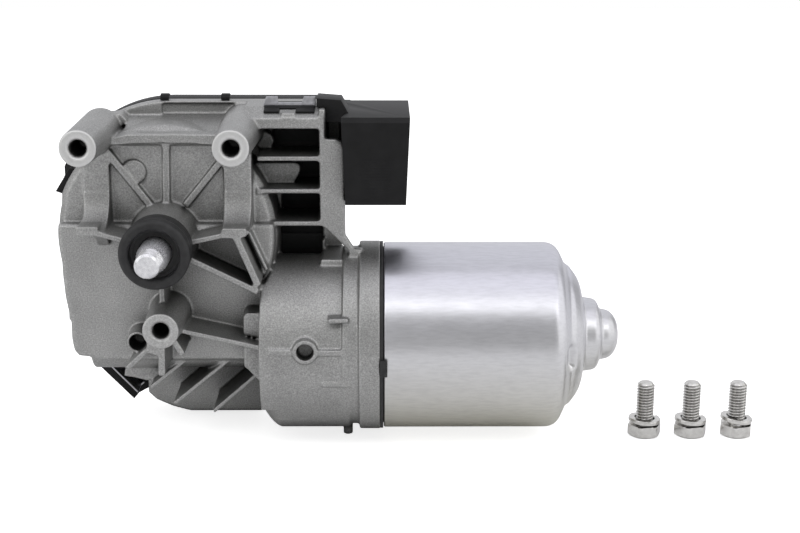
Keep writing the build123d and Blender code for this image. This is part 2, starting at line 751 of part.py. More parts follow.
adaptor_bush_left = 28.0
with BuildPart() as adaptor_bush:
    ring(motor_side, motor_axis, adaptor_bush_left, adaptor_bore_left, armature_shaft_r + running_fit,
         worm_bore_r - seat_gap)
adaptor_bush.part.label = "adaptor_bush"
export_step(adaptor_bush.part, "parts/adaptor_bush.step")

can_bush_left = can_dome_end - 1.2
can_bush_right = hub_end - can_wall - 0.2
can_bush_r = hub_r - can_wall
with BuildPart() as can_end_bush:
    turned(motor_side, motor_axis, [
        (can_bush_left, armature_shaft_r + running_fit), (can_bush_right, armature_shaft_r + running_fit),
        (can_bush_right, can_bush_r - 1.5), (can_bush_right - 1.5, can_bush_r - seat_gap),
        (can_bush_left + 1.5, can_bush_r - seat_gap), (can_bush_left, can_bush_r - 1.5),
    ])
can_end_bush.part.label = "can_end_bush"
export_step(can_end_bush.part, "parts/can_end_bush.step")

# ARMATURE CORE AND WINDINGS
# Slotted lamination stack, with copper coils that fill the slots and form a head at each end.
with BuildPart() as armature_core:
    with BuildSketch(across_motor(core_left)):
        Circle(core_r)
        Circle(armature_shaft_r + seat_gap, mode=Mode.SUBTRACT)
        with PolarLocations(slot_centre_r, slot_count):
            Circle(slot_r, mode=Mode.SUBTRACT)
        with PolarLocations((slot_centre_r + core_r) / 2 + 1, slot_count):
            Rectangle(core_r - slot_centre_r + 2, slot_mouth, mode=Mode.SUBTRACT)
    extrude(amount=core_length)
armature_core.part.label = "armature_core"
export_step(armature_core.part, "parts/armature_core.step")

coil_r = slot_r - 0.15
with BuildPart() as windings:
    for start, end, bevel in ((core_left - coil_head_length, core_left - 0.2, 1),
                              (armature_core_right + coil_head_length, armature_core_right + 0.2, -1)):
        turned(motor_side, motor_axis, [
            (end, coil_head_bore), (start + bevel, coil_head_bore), (start, coil_head_bore + 1.5),
            (start, coil_head_r - 2), (start + 2 * bevel, coil_head_r), (end, coil_head_r),
        ])
    with BuildSketch(across_motor(core_left - 1)):
        with PolarLocations(slot_centre_r, slot_count):
            Circle(coil_r)
    extrude(amount=core_length + 2)
windings.part.label = "windings"
export_step(windings.part, "parts/windings.step")

# COMMUTATOR
# Copper bars on a moulded sleeve.
commutator_right = commutator_left + commutator_length
with BuildPart() as commutator_sleeve:
    ring(motor_side, motor_axis, commutator_left - 1.2, commutator_right + 1.2, armature_shaft_r + seat_gap,
         commutator_r - commutator_bar)
commutator_sleeve.part.label = "commutator_sleeve"
export_step(commutator_sleeve.part, "parts/commutator_sleeve.step")

with BuildPart() as commutator_bars:
    with BuildSketch(across_motor(commutator_left)):
        Circle(commutator_r)
        Circle(commutator_r - commutator_bar + seat_gap, mode=Mode.SUBTRACT)
        with PolarLocations(commutator_r - commutator_bar / 2, slot_count, start_angle=180 / slot_count):
            Rectangle(commutator_bar + 1, 0.6, mode=Mode.SUBTRACT)
    extrude(amount=commutator_length)
commutator_bars.part.label = "commutator_bars"
export_step(commutator_bars.part, "parts/commutator_bars.step")

# BRUSH GEAR
# Moulded brush plate in the adaptor, with two brass guides, carbon brushes that slide in
# them towards the commutator, and a coil spring behind each brush.
with BuildPart() as brush_plate:
    with BuildSketch(across_motor(brush_plate_left)):
        Circle(adaptor_bore_r - seat_gap)
        Circle(brush_plate_hole_r, mode=Mode.SUBTRACT)
        with PolarLocations(18.0, 2):
            SlotOverall(7.0, 3.0, rotation=90, mode=Mode.SUBTRACT)
    extrude(amount=brush_plate_wall)
brush_plate.part.label = "brush_plate"
export_step(brush_plate.part, "parts/brush_plate.step")

brush_inner = commutator_r + brush_gap
brush_outer = brush_inner + brush_length
spring_end = brush_outer + spring_length
guide_start = brush_inner + 1.6
brush_middle_x = brush_left + brush_width / 2
guide_reach = brush_plate_left - brush_middle_x


def guide_level(side, height):
    """Plane across a brush's travel, at a height from the motor's axis on one side of it."""
    centre = (brush_middle_x, motor_depth, motor_z + side * height)
    return Plane(origin=centre, x_dir=(1, 0, 0), z_dir=(0, 0, side))


with BuildPart() as brush_holders:
    for side in (1, -1):
        with BuildSketch(guide_level(side, guide_start)):
            with Locations(((guide_reach - brush_width / 2 - holder_wall - holder_clearance) / 2, 0)):
                Rectangle(guide_reach + brush_width / 2 + holder_wall + holder_clearance,
                          brush_breadth + 2 * (holder_wall + holder_clearance))
        extrude(amount=spring_end + holder_wall - guide_start)
        with BuildSketch(guide_level(side, guide_start)):
            Rectangle(brush_width + 2 * holder_clearance, brush_breadth + 2 * holder_clearance)
        extrude(amount=spring_end - guide_start, mode=Mode.SUBTRACT)
brush_holders.part.label = "brush_holders"
export_step(brush_holders.part, "parts/brush_holders.step")

for name, side in (("upper", 1), ("lower", -1)):
    with BuildPart() as brush:
        with BuildSketch(guide_level(side, brush_inner)):
            Rectangle(brush_width, brush_breadth)
        extrude(amount=brush_length)
        chamfer(brush.edges().filter_by(Axis.Z), length=0.4)
    brush.part.label = "brush_" + name
    export_step(brush.part, "parts/brush_" + name + ".step")

    coil_gap = 0.06
    coil_height = spring_length - 2 * spring_wire_r - 2 * coil_gap
    with BuildPart() as spring:
        coil_level = motor_z + side * (brush_outer + spring_wire_r + coil_gap)
        coil_centre = Vector(brush_middle_x, motor_depth, coil_level)
        coil_path = Helix(pitch=coil_height / spring_turns, height=coil_height, radius=spring_r,
                          center=coil_centre, direction=(0, 0, side), mode=Mode.PRIVATE)
        with BuildSketch(Plane(origin=coil_path @ 0, z_dir=coil_path % 0)):
            Circle(spring_wire_r)
        sweep(path=coil_path, is_frenet=True)
    spring.part.label = "spring_" + name
    export_step(spring.part, "parts/spring_" + name + ".step")

# MOTOR CAN
# Deep-drawn steel can with a domed end and a stepped hub that holds the rear bearing.
with BuildPart() as motor_can:
    with BuildSketch(motor_side):
        with BuildLine():
            Line((can_left, can_bore_r), (can_left, can_r))
            Line((can_left, can_r), (can_straight_end, can_r))
            ThreePointArc((can_straight_end, can_r), (129.0, 28.0), can_shoulder)
            ThreePointArc(can_shoulder, can_dome_mid, (can_dome_end, hub_r))
            Line((can_dome_end, hub_r), (hub_end - 2.0, hub_r - 0.4))
            ThreePointArc((hub_end - 2.0, hub_r - 0.4), (hub_end - 0.3, hub_r - 1.5),
                          (hub_end + 0.4, nose_r + 1.2))
            Line((hub_end + 0.4, nose_r + 1.2), (hub_end + 1.4, nose_r))
            Line((hub_end + 1.4, nose_r), (can_end - 2.6, nose_r - 0.9))
            ThreePointArc((can_end - 2.6, nose_r - 0.9), (can_end - 0.7, nose_r - 3.0),
                          (can_end, nose_r - 5.3))
            Line((can_end, nose_r - 5.3), (can_end, 0))
            Line((can_end, 0), (can_end - can_wall, 0))
            Line((can_end - can_wall, 0), (can_end - can_wall, nose_r - 5.0))
            Line((can_end - can_wall, nose_r - 5.0), (hub_end - can_wall, nose_r - 2.0))
            Line((hub_end - can_wall, nose_r - 2.0), (hub_end - can_wall, hub_r - can_wall))
            Line((hub_end - can_wall, hub_r - can_wall), (can_dome_end - can_wall, hub_r - can_wall))
            Line((can_dome_end - can_wall, hub_r - can_wall), (129.2, 23.4))
            Line((129.2, 23.4), (can_straight_end - 0.6, can_bore_r))
            Line((can_straight_end - 0.6, can_bore_r), (can_left, can_bore_r))
        make_face()
    revolve(axis=motor_axis)
    with BuildSketch(across_motor(130.0)):
        with Locations((-16.5, -2.8)):
            SlotOverall(8.0, 2.6, rotation=90)
    extrude(amount=3.2, mode=Mode.SUBTRACT)
motor_can.part.label = "motor_can"
export_step(motor_can.part, "parts/motor_can.step")

# CAN GASKET
# Thin black gasket between the adaptor's flange and the can, with a tab on the front.
gasket_r = second_flange_r - 0.15
with BuildPart() as can_gasket:
    ring(motor_side, motor_axis, second_flange_right, can_left, can_bore_r + seat_gap, gasket_r)
    with BuildSketch(across_motor(second_flange_right)):
        with Locations((-gasket_r - 0.2, -2.4)):
            Rectangle(1.6, 4.4)
    extrude(amount=2.4)
    ring(motor_side, motor_axis, can_left, can_left + 3, 0, can_r + 0.05, Mode.SUBTRACT)
can_gasket.part.label = "can_gasket"
export_step(can_gasket.part, "parts/can_gasket.step")

# FIELD MAGNETS
# Two ferrite arcs inside the can, pressed against it by a bowed spring at each gap.
magnet_outer_r = can_bore_r - 0.1
magnet_inner_r = magnet_outer_r - magnet_wall
gap_angle = 180 - magnet_angle


def magnet_arc(start_angle, angle, inner_r, outer_r, length):
    """A ring segment round the motor's axis, starting at the magnets' left end."""
    with BuildSketch(across_motor(magnet_left)) as section:
        with BuildLine():
            inner = CenterArc((0, 0), inner_r, start_angle, angle)
            outer = CenterArc((0, 0), outer_r, start_angle, angle)
            Line(inner @ 0, outer @ 0)
            Line(inner @ 1, outer @ 1)
        make_face()
    extrude(section.sketch, amount=length)


with BuildPart() as field_magnets:
    for middle in (0, 180):
        magnet_arc(middle - magnet_angle / 2, magnet_angle, magnet_inner_r, magnet_outer_r, magnet_length)
field_magnets.part.label = "field_magnets"
export_step(field_magnets.part, "parts/field_magnets.step")

spring_play = 0.4
with BuildPart() as magnet_springs:
    for middle in (90, 270):
        magnet_arc(middle - gap_angle / 2 + spring_play, gap_angle - 2 * spring_play, magnet_outer_r - 0.8,
                   magnet_outer_r, magnet_length)
magnet_springs.part.label = "magnet_springs"
export_step(magnet_springs.part, "parts/magnet_springs.step")

# COVER GASKET, REAR COVER AND BOARD
with BuildPart() as cover_gasket:
    extrude(rear_outline(flange_back + gasket_wall, 0.6), amount=gasket_wall)
    extrude(rear_outline(flange_back + gasket_wall, flange_rim - 0.4), amount=gasket_wall,
            mode=Mode.SUBTRACT)
cover_gasket.part.label = "cover_gasket"
export_step(cover_gasket.part, "parts/cover_gasket.step")

cover_front = flange_back + gasket_wall
cover_back = cover_front + cover_depth
inner_panel_left = 33.0
inner_panel_right = 52.5
inner_panel_wall = 1.4
inner_panel_front = board_floor + 0.1
panel_rib_wall = 1.6
with BuildPart() as rear_cover:
    extrude(rear_outline(cover_back, 0, True), amount=cover_depth)
    chamfer(rear_cover.edges().group_by(Axis.Y)[-1], length=1.6)
    extrude(rear_outline(cover_back - cover_wall, flange_rim), amount=cover_depth, mode=Mode.SUBTRACT)
    # inner panel that closes the windows behind the ladder, on two ribs
    block(inner_panel_front + inner_panel_wall, inner_panel_wall, [
        (inner_panel_left, -4.4), (inner_panel_right, -4.4), (inner_panel_right, 36.5),
        (inner_panel_left, 36.5),
    ])
    for x in (40.0, 49.0):
        block(cover_back - 1, cover_back - 1 - inner_panel_front, [
            (x, -4.0), (x + panel_rib_wall, -4.0), (x + panel_rib_wall, 36.0), (x, 36.0),
        ])
    # raised ribs outside, over the wheel and the worm
    for x in (-24, -12, 0, 12, 24):
        with BuildSketch(front(cover_back + 1.0)) as stiffener:
            with Locations((x, 6)):
                SlotOverall(44, 1.8, rotation=90)
        extrude(stiffener.sketch, amount=1.4)
    with BuildSketch(front(cover_back + 2.4)) as vent:
        with Locations((42, 24)):
            Circle(5.5)
    extrude(vent.sketch, amount=2.8)
    # slanted snap arm at the left edge
    block(cover_front + 4, 4, [(-33.5, 19.0), (-35.2, 18.6), (-39.8, 9.9), (-37.7, 9.0), (-33.5, 12.0)])
    # raised pad over the worm tunnel
    with BuildSketch(front(cover_back + 1.4)) as boss:
        with Locations((4, -46)):
            SlotOverall(34, 9)
    extrude(boss.sketch, amount=1.8)
rear_cover.part.label = "rear_cover"
export_step(rear_cover.part, "parts/rear_cover.step")

board_wall = 1.6
board_right = inner_panel_left - 1.0
with BuildPart() as circuit_board:
    extrude(rear_outline(board_floor + board_wall, flange_rim + 1.0), amount=board_wall)
    block(board_floor + board_wall + 1, board_wall + 2, [
        (board_right, -8), (flange_right, -8), (flange_right, flange_r), (board_right, flange_r),
    ], Mode.SUBTRACT)
circuit_board.part.label = "circuit_board"
export_step(circuit_board.part, "parts/circuit_board.step")

board_back = board_floor + board_wall
tall_part = 9.0
flat_part = 3.0
with BuildPart() as board_parts:
    # two relays, three flat chips, then two capacitors and a coil
    for x, z, width, height, rise in ((-10.6, -32, 15, 18, tall_part), (8, -34, 15, 18, tall_part),
                                      (-20, 8, 9, 9, flat_part), (8, 14, 12, 12, flat_part),
                                      (22, 30, 14, 8, flat_part)):
        with BuildSketch(front(board_back + rise)) as case:
            with Locations((x, z)):
                Rectangle(width, height)
        extrude(case.sketch, amount=rise)
    for x, z, radius in ((19, -57, 4.6), (8, -57, 4.0), (26, 4, 4.0)):
        with BuildSketch(front(board_back + tall_part)) as can:
            with Locations((x, z)):
                Circle(radius)
        extrude(can.sketch, amount=tall_part)
board_parts.part.label = "board_parts"
export_step(board_parts.part, "parts/board_parts.step")

with BuildPart() as position_sensor:
    with BuildSketch(front(board_floor)):
        Rectangle(5, 5)
    extrude(amount=1.4)
position_sensor.part.label = "position_sensor"
export_step(position_sensor.part, "parts/position_sensor.step")

# PLUG SOCKET
# Black moulded shroud beside the ladder frame, open towards the can's end, with blade pins.
connector_left = ladder_right + 0.2
socket_bottom = connector_bottom + connector_wall
socket_top = connector_top - connector_wall
socket_front = connector_front + connector_wall
socket_back = connector_back - connector_wall
socket_floor = connector_left + connector_base
with BuildPart() as connector_housing:
    with BuildSketch(front(connector_back)):
        with BuildLine():
            Polyline(
                (connector_left, connector_bottom), (connector_right - 1.2, connector_bottom),
                (connector_right, connector_top), (connector_left, connector_top), close=True,
            )
        make_face()
    extrude(amount=connector_back - connector_front)
    chamfer(connector_housing.edges().group_by(Axis.Z)[-1].filter_by(Axis.X), length=1.5)
    # left wall that seats on the rear cover and bridges to the ladder's top
    block(connector_back, connector_back - cover_front, [
        (flange_right, connector_bottom), (connector_left + 1, connector_bottom),
        (connector_left + 1, connector_top), (flange_right, connector_top),
    ])
    bridge_left = ladder_wall_right + seat_gap
    block(48.0, 12.0, [
        (bridge_left, 36.5), (connector_left + 1, 36.5), (connector_left + 1, connector_top), (57.0, 43.6),
        (49.2, 44.2), (49.2, ladder_top + 0.1), (bridge_left, ladder_top + 0.1),
    ])
    # socket
    with BuildSketch(Plane(origin=(socket_floor, 0, 0), x_dir=(0, 1, 0), z_dir=(1, 0, 0))):
        with Locations(((socket_front + socket_back) / 2, (socket_bottom + socket_top) / 2)):
            RectangleRounded(socket_back - socket_front, socket_top - socket_bottom, 2.0)
    extrude(amount=connector_right - socket_floor + 1, mode=Mode.SUBTRACT)
connector_housing.part.label = "connector_housing"
export_step(connector_housing.part, "parts/connector_housing.step")

with BuildPart() as connector_pins:
    pin_pitch = (socket_back - socket_front) / (pin_count + 1)
    pin_z = (socket_bottom + socket_top) / 2
    with BuildSketch(Plane(origin=(socket_floor, 0, 0), x_dir=(0, 1, 0), z_dir=(1, 0, 0))):
        for pin in range(pin_count):
            with Locations((socket_front + (pin + 1) * pin_pitch, pin_z)):
                Rectangle(pin_width, pin_thickness)
    extrude(amount=pin_length)
connector_pins.part.label = "connector_pins"
export_step(connector_pins.part, "parts/connector_pins.step")

# COVER CLIPS
# Bent spring-steel clips: a wide one over the top of the ladder frame, two narrow ones over
# the flange, one on the right side, and a strip on the cut lower left corner.
clip_wall = 1.0


def clip_over_top(left, right, clip_front):
    """A strip over the flange and the cover, hooked behind the cover's back."""
    base = flange_r + seat_gap
    back = cover_back + seat_gap
    with BuildSketch(Plane(origin=(left, 0, 0), x_dir=(0, 1, 0), z_dir=(1, 0, 0))) as section:
        with BuildLine():
            Polyline(
                (clip_front, base), (back, base), (back, base - 4), (back + clip_wall, base - 4),
                (back + clip_wall, base + clip_wall), (clip_front, base + clip_wall), close=True,
            )
        make_face()
    extrude(section.sketch, amount=right - left)


top_clip_left = 32.0
top_clip_right = 48.6
ear_width = 4.8
small_clip_width = 2.7
roof_slope_front = 34.6
with BuildPart() as cover_clips:
    # wide clip: strap, leg down the ladder's sloping roof with a window for the catch, two ears
    clip_over_top(top_clip_left, top_clip_right, 40.0)
    side_profile(top_clip_left, top_clip_right - top_clip_left, [
        (41.0, flange_r + 0.05), (40.0, flange_r + clip_wall), (roof_slope_front - 0.3, flange_r - 0.95),
        (roof_slope_front, flange_r - 1.7), (39.3, flange_r + 0.05),
    ])
    block(39.4, 8, [(37.6, 37.0), (43.0, 37.0), (43.0, 43.0), (37.6, 43.0)], Mode.SUBTRACT)
    for left in (top_clip_left, top_clip_right - ear_width):
        side_profile(left, ear_width, [
            (40.0, flange_r + 0.5), (40.0, flange_r + 2.6), (41.2, flange_r + 3.2), (43.0, flange_r + 3.2),
            (43.0, flange_r + 2.4), (41.6, flange_r + 2.2), (41.2, flange_r + 0.5),
        ])
    # small clips on the flange's top edge
    for left in (-2.5, 17.5):
        clip_over_top(left, left + small_clip_width, flange_front + 1)
        side_profile(left, small_clip_width, [
            (flange_front + 1, flange_r + 0.3), (flange_front + 1, flange_r + 1.6),
            (flange_front + 2.4, flange_r + 1.6), (flange_front + 4.0, flange_r + 0.3),
        ])
cover_clips.part.label = "cover_clips"
export_step(cover_clips.part, "parts/cover_clips.step")

# thin strip that stands on the cover at the cut corner, with both ends bent in
corner_strip_wall = 0.6
strip_out = 3.0
strip_reach = 2.2
with BuildPart() as corner_clip:
    strip_start = Vector(-24.0, -49.6)
    strip_end = Vector(-14.6, -59.9)
    along = (strip_end - strip_start).normalized()
    inward = Vector(-along.Y, along.X)

    def strip(start, end, width):
        """A strip's corners, seen from the front, with its width towards the flange."""
        corners = (start, end, end + inward * width, start + inward * width)
        return [(corner.X, corner.Y) for corner in corners]

    strip_back = cover_front - seat_gap
    block(strip_back, strip_back - flange_front, strip(strip_start, strip_end, corner_strip_wall))
    for start in (strip_start, strip_end - along * corner_strip_wall):
        block(strip_back, strip_reach, strip(start, start + along * corner_strip_wall, strip_reach))
corner_clip.part.label = "corner_clip"
export_step(corner_clip.part, "parts/corner_clip.step")

# MOUNTING BOLTS AND LOCK WASHERS
# Three loose M6 bolts that stand on their heads beside the motor, each with a split washer.
bolt_positions = [158.7, 174.3, 189.8]
bolt_head_turns = [7.0, 11.0, 15.0]
bolt_depth = 33.5
bolt_head_flats = 10.0
bolt_head_height = 4.0
bolt_shank_r = 3.0
bolt_length = 16.3
washer_inner_r = 3.35
washer_outer_r = 5.9
washer_wall = 1.6
washer_slit = 0.9
washer_tilts = [5.0, 5.0, 9.0]
head_top = standing_z + bolt_head_height
bolt_tip = standing_z + bolt_length

with BuildPart() as mounting_bolts:
    for x, head_turn in zip(bolt_positions, bolt_head_turns):
        with BuildSketch(Plane.XY.offset(standing_z)) as head:
            with Locations((x, bolt_depth)):
                RegularPolygon(bolt_head_flats / 2, 6, major_radius=False, rotation=30 + head_turn)
        extrude(head.sketch, amount=bolt_head_height)
        with BuildSketch(Plane(origin=(x, bolt_depth, 0), x_dir=(1, 0, 0), z_dir=(0, -1, 0))) as shank:
            with BuildLine():
                Polyline(
                    (0, head_top - 1), (bolt_shank_r, head_top - 1), (bolt_shank_r, bolt_tip - 0.8),
                    (bolt_shank_r - 0.8, bolt_tip), (0, bolt_tip), close=True,
                )
            make_face()
        revolve(shank.sketch, axis=Axis((x, bolt_depth, 0), (0, 0, 1)))
mounting_bolts.part.label = "mounting_bolts"
export_step(mounting_bolts.part, "parts/mounting_bolts.step")

with BuildPart() as lock_washers:
    for x, tilt in zip(bolt_positions, washer_tilts):
        lift = washer_outer_r * sin(radians(tilt)) + washer_wall / 2 * cos(radians(tilt))
        washer_place = Plane(
            origin=(x, bolt_depth, head_top + lift + seat_gap),
            x_dir=(cos(radians(tilt)), 0, -sin(radians(tilt))),
            z_dir=(sin(radians(tilt)), 0, cos(radians(tilt))),
        )
        with BuildSketch(washer_place.offset(-washer_wall / 2)) as washer:
            Circle(washer_outer_r)
            Circle(washer_inner_r, mode=Mode.SUBTRACT)
            with Locations(Rotation(0, 0, 40) * Location((washer_outer_r - 1, 0))):
                Rectangle(4.0, washer_slit, mode=Mode.SUBTRACT)
        extrude(washer.sketch, amount=washer_wall)
lock_washers.part.label = "lock_washers"
export_step(lock_washers.part, "parts/lock_washers.step")
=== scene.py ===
from math import ceil, cos, hypot, pi, radians, sin

import bmesh
import bpy
from mathutils import Matrix, Vector


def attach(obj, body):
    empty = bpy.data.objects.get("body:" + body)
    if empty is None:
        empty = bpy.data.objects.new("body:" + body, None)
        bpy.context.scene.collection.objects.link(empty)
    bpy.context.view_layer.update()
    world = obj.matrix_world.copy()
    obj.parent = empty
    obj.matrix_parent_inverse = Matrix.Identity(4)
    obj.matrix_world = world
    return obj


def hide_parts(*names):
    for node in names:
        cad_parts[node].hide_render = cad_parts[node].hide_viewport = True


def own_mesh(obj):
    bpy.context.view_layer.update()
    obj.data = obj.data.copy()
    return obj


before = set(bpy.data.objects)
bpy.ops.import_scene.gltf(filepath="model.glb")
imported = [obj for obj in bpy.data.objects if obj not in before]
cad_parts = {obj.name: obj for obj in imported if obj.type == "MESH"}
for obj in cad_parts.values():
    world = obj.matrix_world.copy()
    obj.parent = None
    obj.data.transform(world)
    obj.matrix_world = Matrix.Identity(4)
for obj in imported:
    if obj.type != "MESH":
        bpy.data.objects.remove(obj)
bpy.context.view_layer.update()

# GEAR HOUSING
# The gear case is one aluminium die casting, shot-blasted after casting, so its edges are
# soft and its skin is an even grey with a fine sandy grain. It is left bare.
mm = 0.001


def linear(hex_colour):
    """An sRGB hex colour as linear red, green, blue and alpha."""
    channels = [int(hex_colour[start:start + 2], 16) / 255 for start in (1, 3, 5)]
    return [c / 12.92 if c <= 0.04045 else ((c + 0.055) / 1.055) ** 2.4 for c in channels] + [1.0]


def connect(tree, node, inputs):
    """Give each input of a node its value, or link it to another node's output."""
    for name, value in inputs.items():
        if isinstance(value, bpy.types.NodeSocket):
            tree.links.new(value, node.inputs[name])
        else:
            node.inputs[name].default_value = value


def add_node(tree, kind, settings, inputs):
    """Add a node with its settings and links; stops are a ramp's places and colours."""
    node = tree.nodes.new(kind)
    for name, value in settings.items():
        if name == "stops":
            while len(node.color_ramp.elements) < len(value):
                node.color_ramp.elements.new(0.5)
            for element, (place, colour) in zip(node.color_ramp.elements, value):
                element.position = place
                element.color = linear(colour)
        else:
            setattr(node, name, value)
    connect(tree, node, inputs)
    return node


def new_material(name):
    """A new material with its node tree and its shader, which the lines after it fill in."""
    material = bpy.data.materials.new(name)
    material.use_nodes = True
    return material, material.node_tree, material.node_tree.nodes["Principled BSDF"]


# Die-cast aluminium, shot blasted: the peened grain scatters light, so it reads as a soft
# mid grey with light and dark specks and faint clouds. Edges are rubbed a little brighter,
# and deep corners and recesses carry painted shade. The boss faces are milled and lighter,
# the lower one less so.
grain_size = 0.42 * mm
cloud_size = 14 * mm
shade_reach = 14 * mm
milled_front_y = 6.3 * mm
milled_back_y = 6.9 * mm
lower_boss_z = -10 * mm
upper_boss_z = 10 * mm
cast_aluminium, tree, shader = new_material("die_cast_aluminium_blasted")
place = add_node(tree, "ShaderNodeTexCoord", {}, {})
grain = add_node(tree, "ShaderNodeTexNoise", {}, {
    "Vector": place.outputs["Object"], "Scale": 1 / grain_size, "Detail": 2.0, "Roughness": 0.6})
cloud = add_node(tree, "ShaderNodeTexNoise", {}, {
    "Vector": place.outputs["Object"], "Scale": 1 / cloud_size, "Detail": 3.0})
grain_tone = add_node(tree, "ShaderNodeValToRGB", {
    "stops": [(0.30, "#9C9C9B"), (0.5, "#B1B1B0"), (0.70, "#CACAC9")]}, {"Fac": grain.outputs["Fac"]})
cloud_tone = add_node(tree, "ShaderNodeValToRGB", {
    "stops": [(0.3, "#E6E6E6"), (0.7, "#FFFFFF")]}, {"Fac": cloud.outputs["Fac"]})
clouded = add_node(tree, "ShaderNodeMix", {"data_type": "RGBA", "blend_type": "MULTIPLY"}, {
    0: 0.7, 6: grain_tone.outputs["Color"], 7: cloud_tone.outputs["Color"]})
corners = add_node(tree, "ShaderNodeNewGeometry", {}, {})
rub_tone = add_node(tree, "ShaderNodeValToRGB", {
    "stops": [(0.50, "#000000"), (0.57, "#5C5C5B")]}, {"Fac": corners.outputs["Pointiness"]})
rubbed = add_node(tree, "ShaderNodeMix", {"data_type": "RGBA", "blend_type": "ADD"}, {
    0: 0.5, 6: clouded.outputs[2], 7: rub_tone.outputs["Color"]})
# painted shade: ambient occlusion darkens the base colour in corners and recesses
corner_shade_ao = add_node(tree, "ShaderNodeAmbientOcclusion", {"samples": 8}, {"Distance": shade_reach})
painted_corner_shade = add_node(tree, "ShaderNodeValToRGB", {
    "stops": [(0.12, "#8A8A89"), (0.70, "#FFFFFF")]}, {"Fac": corner_shade_ao.outputs["AO"]})
rubbed_and_shaded = add_node(tree, "ShaderNodeMix", {"data_type": "RGBA", "blend_type": "MULTIPLY"}, {
    0: 1.0, 6: rubbed.outputs[2], 7: painted_corner_shade.outputs["Color"]})
spot = add_node(tree, "ShaderNodeSeparateXYZ", {}, {"Vector": place.outputs["Object"]})
milled = add_node(tree, "ShaderNodeMapRange", {}, {
    "Value": spot.outputs["Y"], "From Min": milled_front_y, "From Max": milled_back_y,
    "To Min": 0.8, "To Max": 0.0})
brightness = add_node(tree, "ShaderNodeMapRange", {}, {
    "Value": spot.outputs["Z"], "From Min": lower_boss_z, "From Max": upper_boss_z,
    "To Min": 0.3, "To Max": 1.0})
milled_share = add_node(tree, "ShaderNodeMath", {"operation": "MULTIPLY"}, {
    0: milled.outputs["Result"], 1: brightness.outputs["Result"]})
faced = add_node(tree, "ShaderNodeMix", {"data_type": "RGBA"}, {
    0: milled_share.outputs["Value"], 6: rubbed_and_shaded.outputs[2], 7: linear("#E2E2E1")})
peened = add_node(tree, "ShaderNodeBump", {}, {
    "Height": grain.outputs["Fac"], "Distance": 0.07 * mm, "Strength": 0.9})
connect(tree, shader, {"Base Color": faced.outputs[2], "Metallic": 1.0, "Roughness": 0.50,
                       "Normal": peened.outputs["Normal"]})


def copy_of(node, name):
    """A separate copy of a CAD node's mesh, with its split corners joined again."""
    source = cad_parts[node]
    mesh = source.data.copy()
    mesh.name = name
    mesh.materials.clear()
    bm = bmesh.new()
    bm.from_mesh(mesh)
    bmesh.ops.remove_doubles(bm, verts=bm.verts, dist=0.002 * mm)
    bm.to_mesh(mesh)
    bm.free()
    piece = bpy.data.objects.new(name, mesh)
    bpy.context.scene.collection.objects.link(piece)
    return piece


def bake_modifiers(piece):
    """Apply a piece's modifiers, so that its mesh is final."""
    graph = bpy.context.evaluated_depsgraph_get()
    final = bpy.data.meshes.new_from_object(piece.evaluated_get(graph))
    piece.modifiers.clear()
    piece.data = final


def smooth_shading(piece, sharp_angle=35):
    """Shade a piece smooth, with its edges kept sharp from an angle in degrees onwards."""
    for face in piece.data.polygons:
        face.use_smooth = True
    piece.data.set_sharp_from_angle(angle=radians(sharp_angle))


def settle(piece, material, slot, body, *nodes):
    """Give a piece its material, fix it to a body, and let it stand for its CAD nodes; its slot is not used.
    """
    piece.data.materials.clear()
    piece.data.materials.append(material)
    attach(piece, body)
    if nodes:
        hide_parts(*nodes)


def add_block(mesh, middle, size, tilt=Matrix()):
    """Add a block to a mesh, from its middle and size in mm and its tilt."""
    bm = bmesh.new()
    bm.from_mesh(mesh)
    bmesh.ops.create_cube(bm, size=1, matrix=(
        Matrix.Translation(middle * mm) @ tilt @ Matrix.Diagonal(size * mm).to_4x4()))
    bm.to_mesh(mesh)
    bm.free()


def ramp(value, start, end):
    """0 up to the start, 1 from the end onwards, and a straight rise between them."""
    return min(1.0, max(0.0, (value - start) / (end - start)))


motor_centre = (0, 40, -36)
cast_voxel = 0.42 * mm
casting = copy_of("gear_housing", "housing_casting")
# a web closes the gap between the left post's end and the ledge beside it
web_middle = Vector((-14.6, 47.0, 33.3))
web_size = Vector((4.5, 7.0, 4.0))
add_block(casting.data, web_middle, web_size)
# under the ladder's lowest shelf the flange opens as a deep gap, down to the adaptor
gap_middle = Vector((43.0, 50.0, -5.6))
gap_size = Vector((14.0, 14.0, 9.4))
gap_slope = Matrix.Rotation(radians(-15), 4, "X")
gap = bpy.data.objects.new("gap_tool", bpy.data.meshes.new("gap_tool"))
add_block(gap.data, gap_middle, gap_size, gap_slope)
bpy.context.scene.collection.objects.link(gap)
opening = casting.modifiers.new("gap", "BOOLEAN")
opening.object = gap
remesh = casting.modifiers.new("skin", "REMESH")
remesh.mode = "VOXEL"
remesh.voxel_size = cast_voxel
soften = casting.modifiers.new("soften", "SMOOTH")
soften.factor = 0.5
soften.iterations = 5
bake_modifiers(casting)
bpy.data.objects.remove(gap)
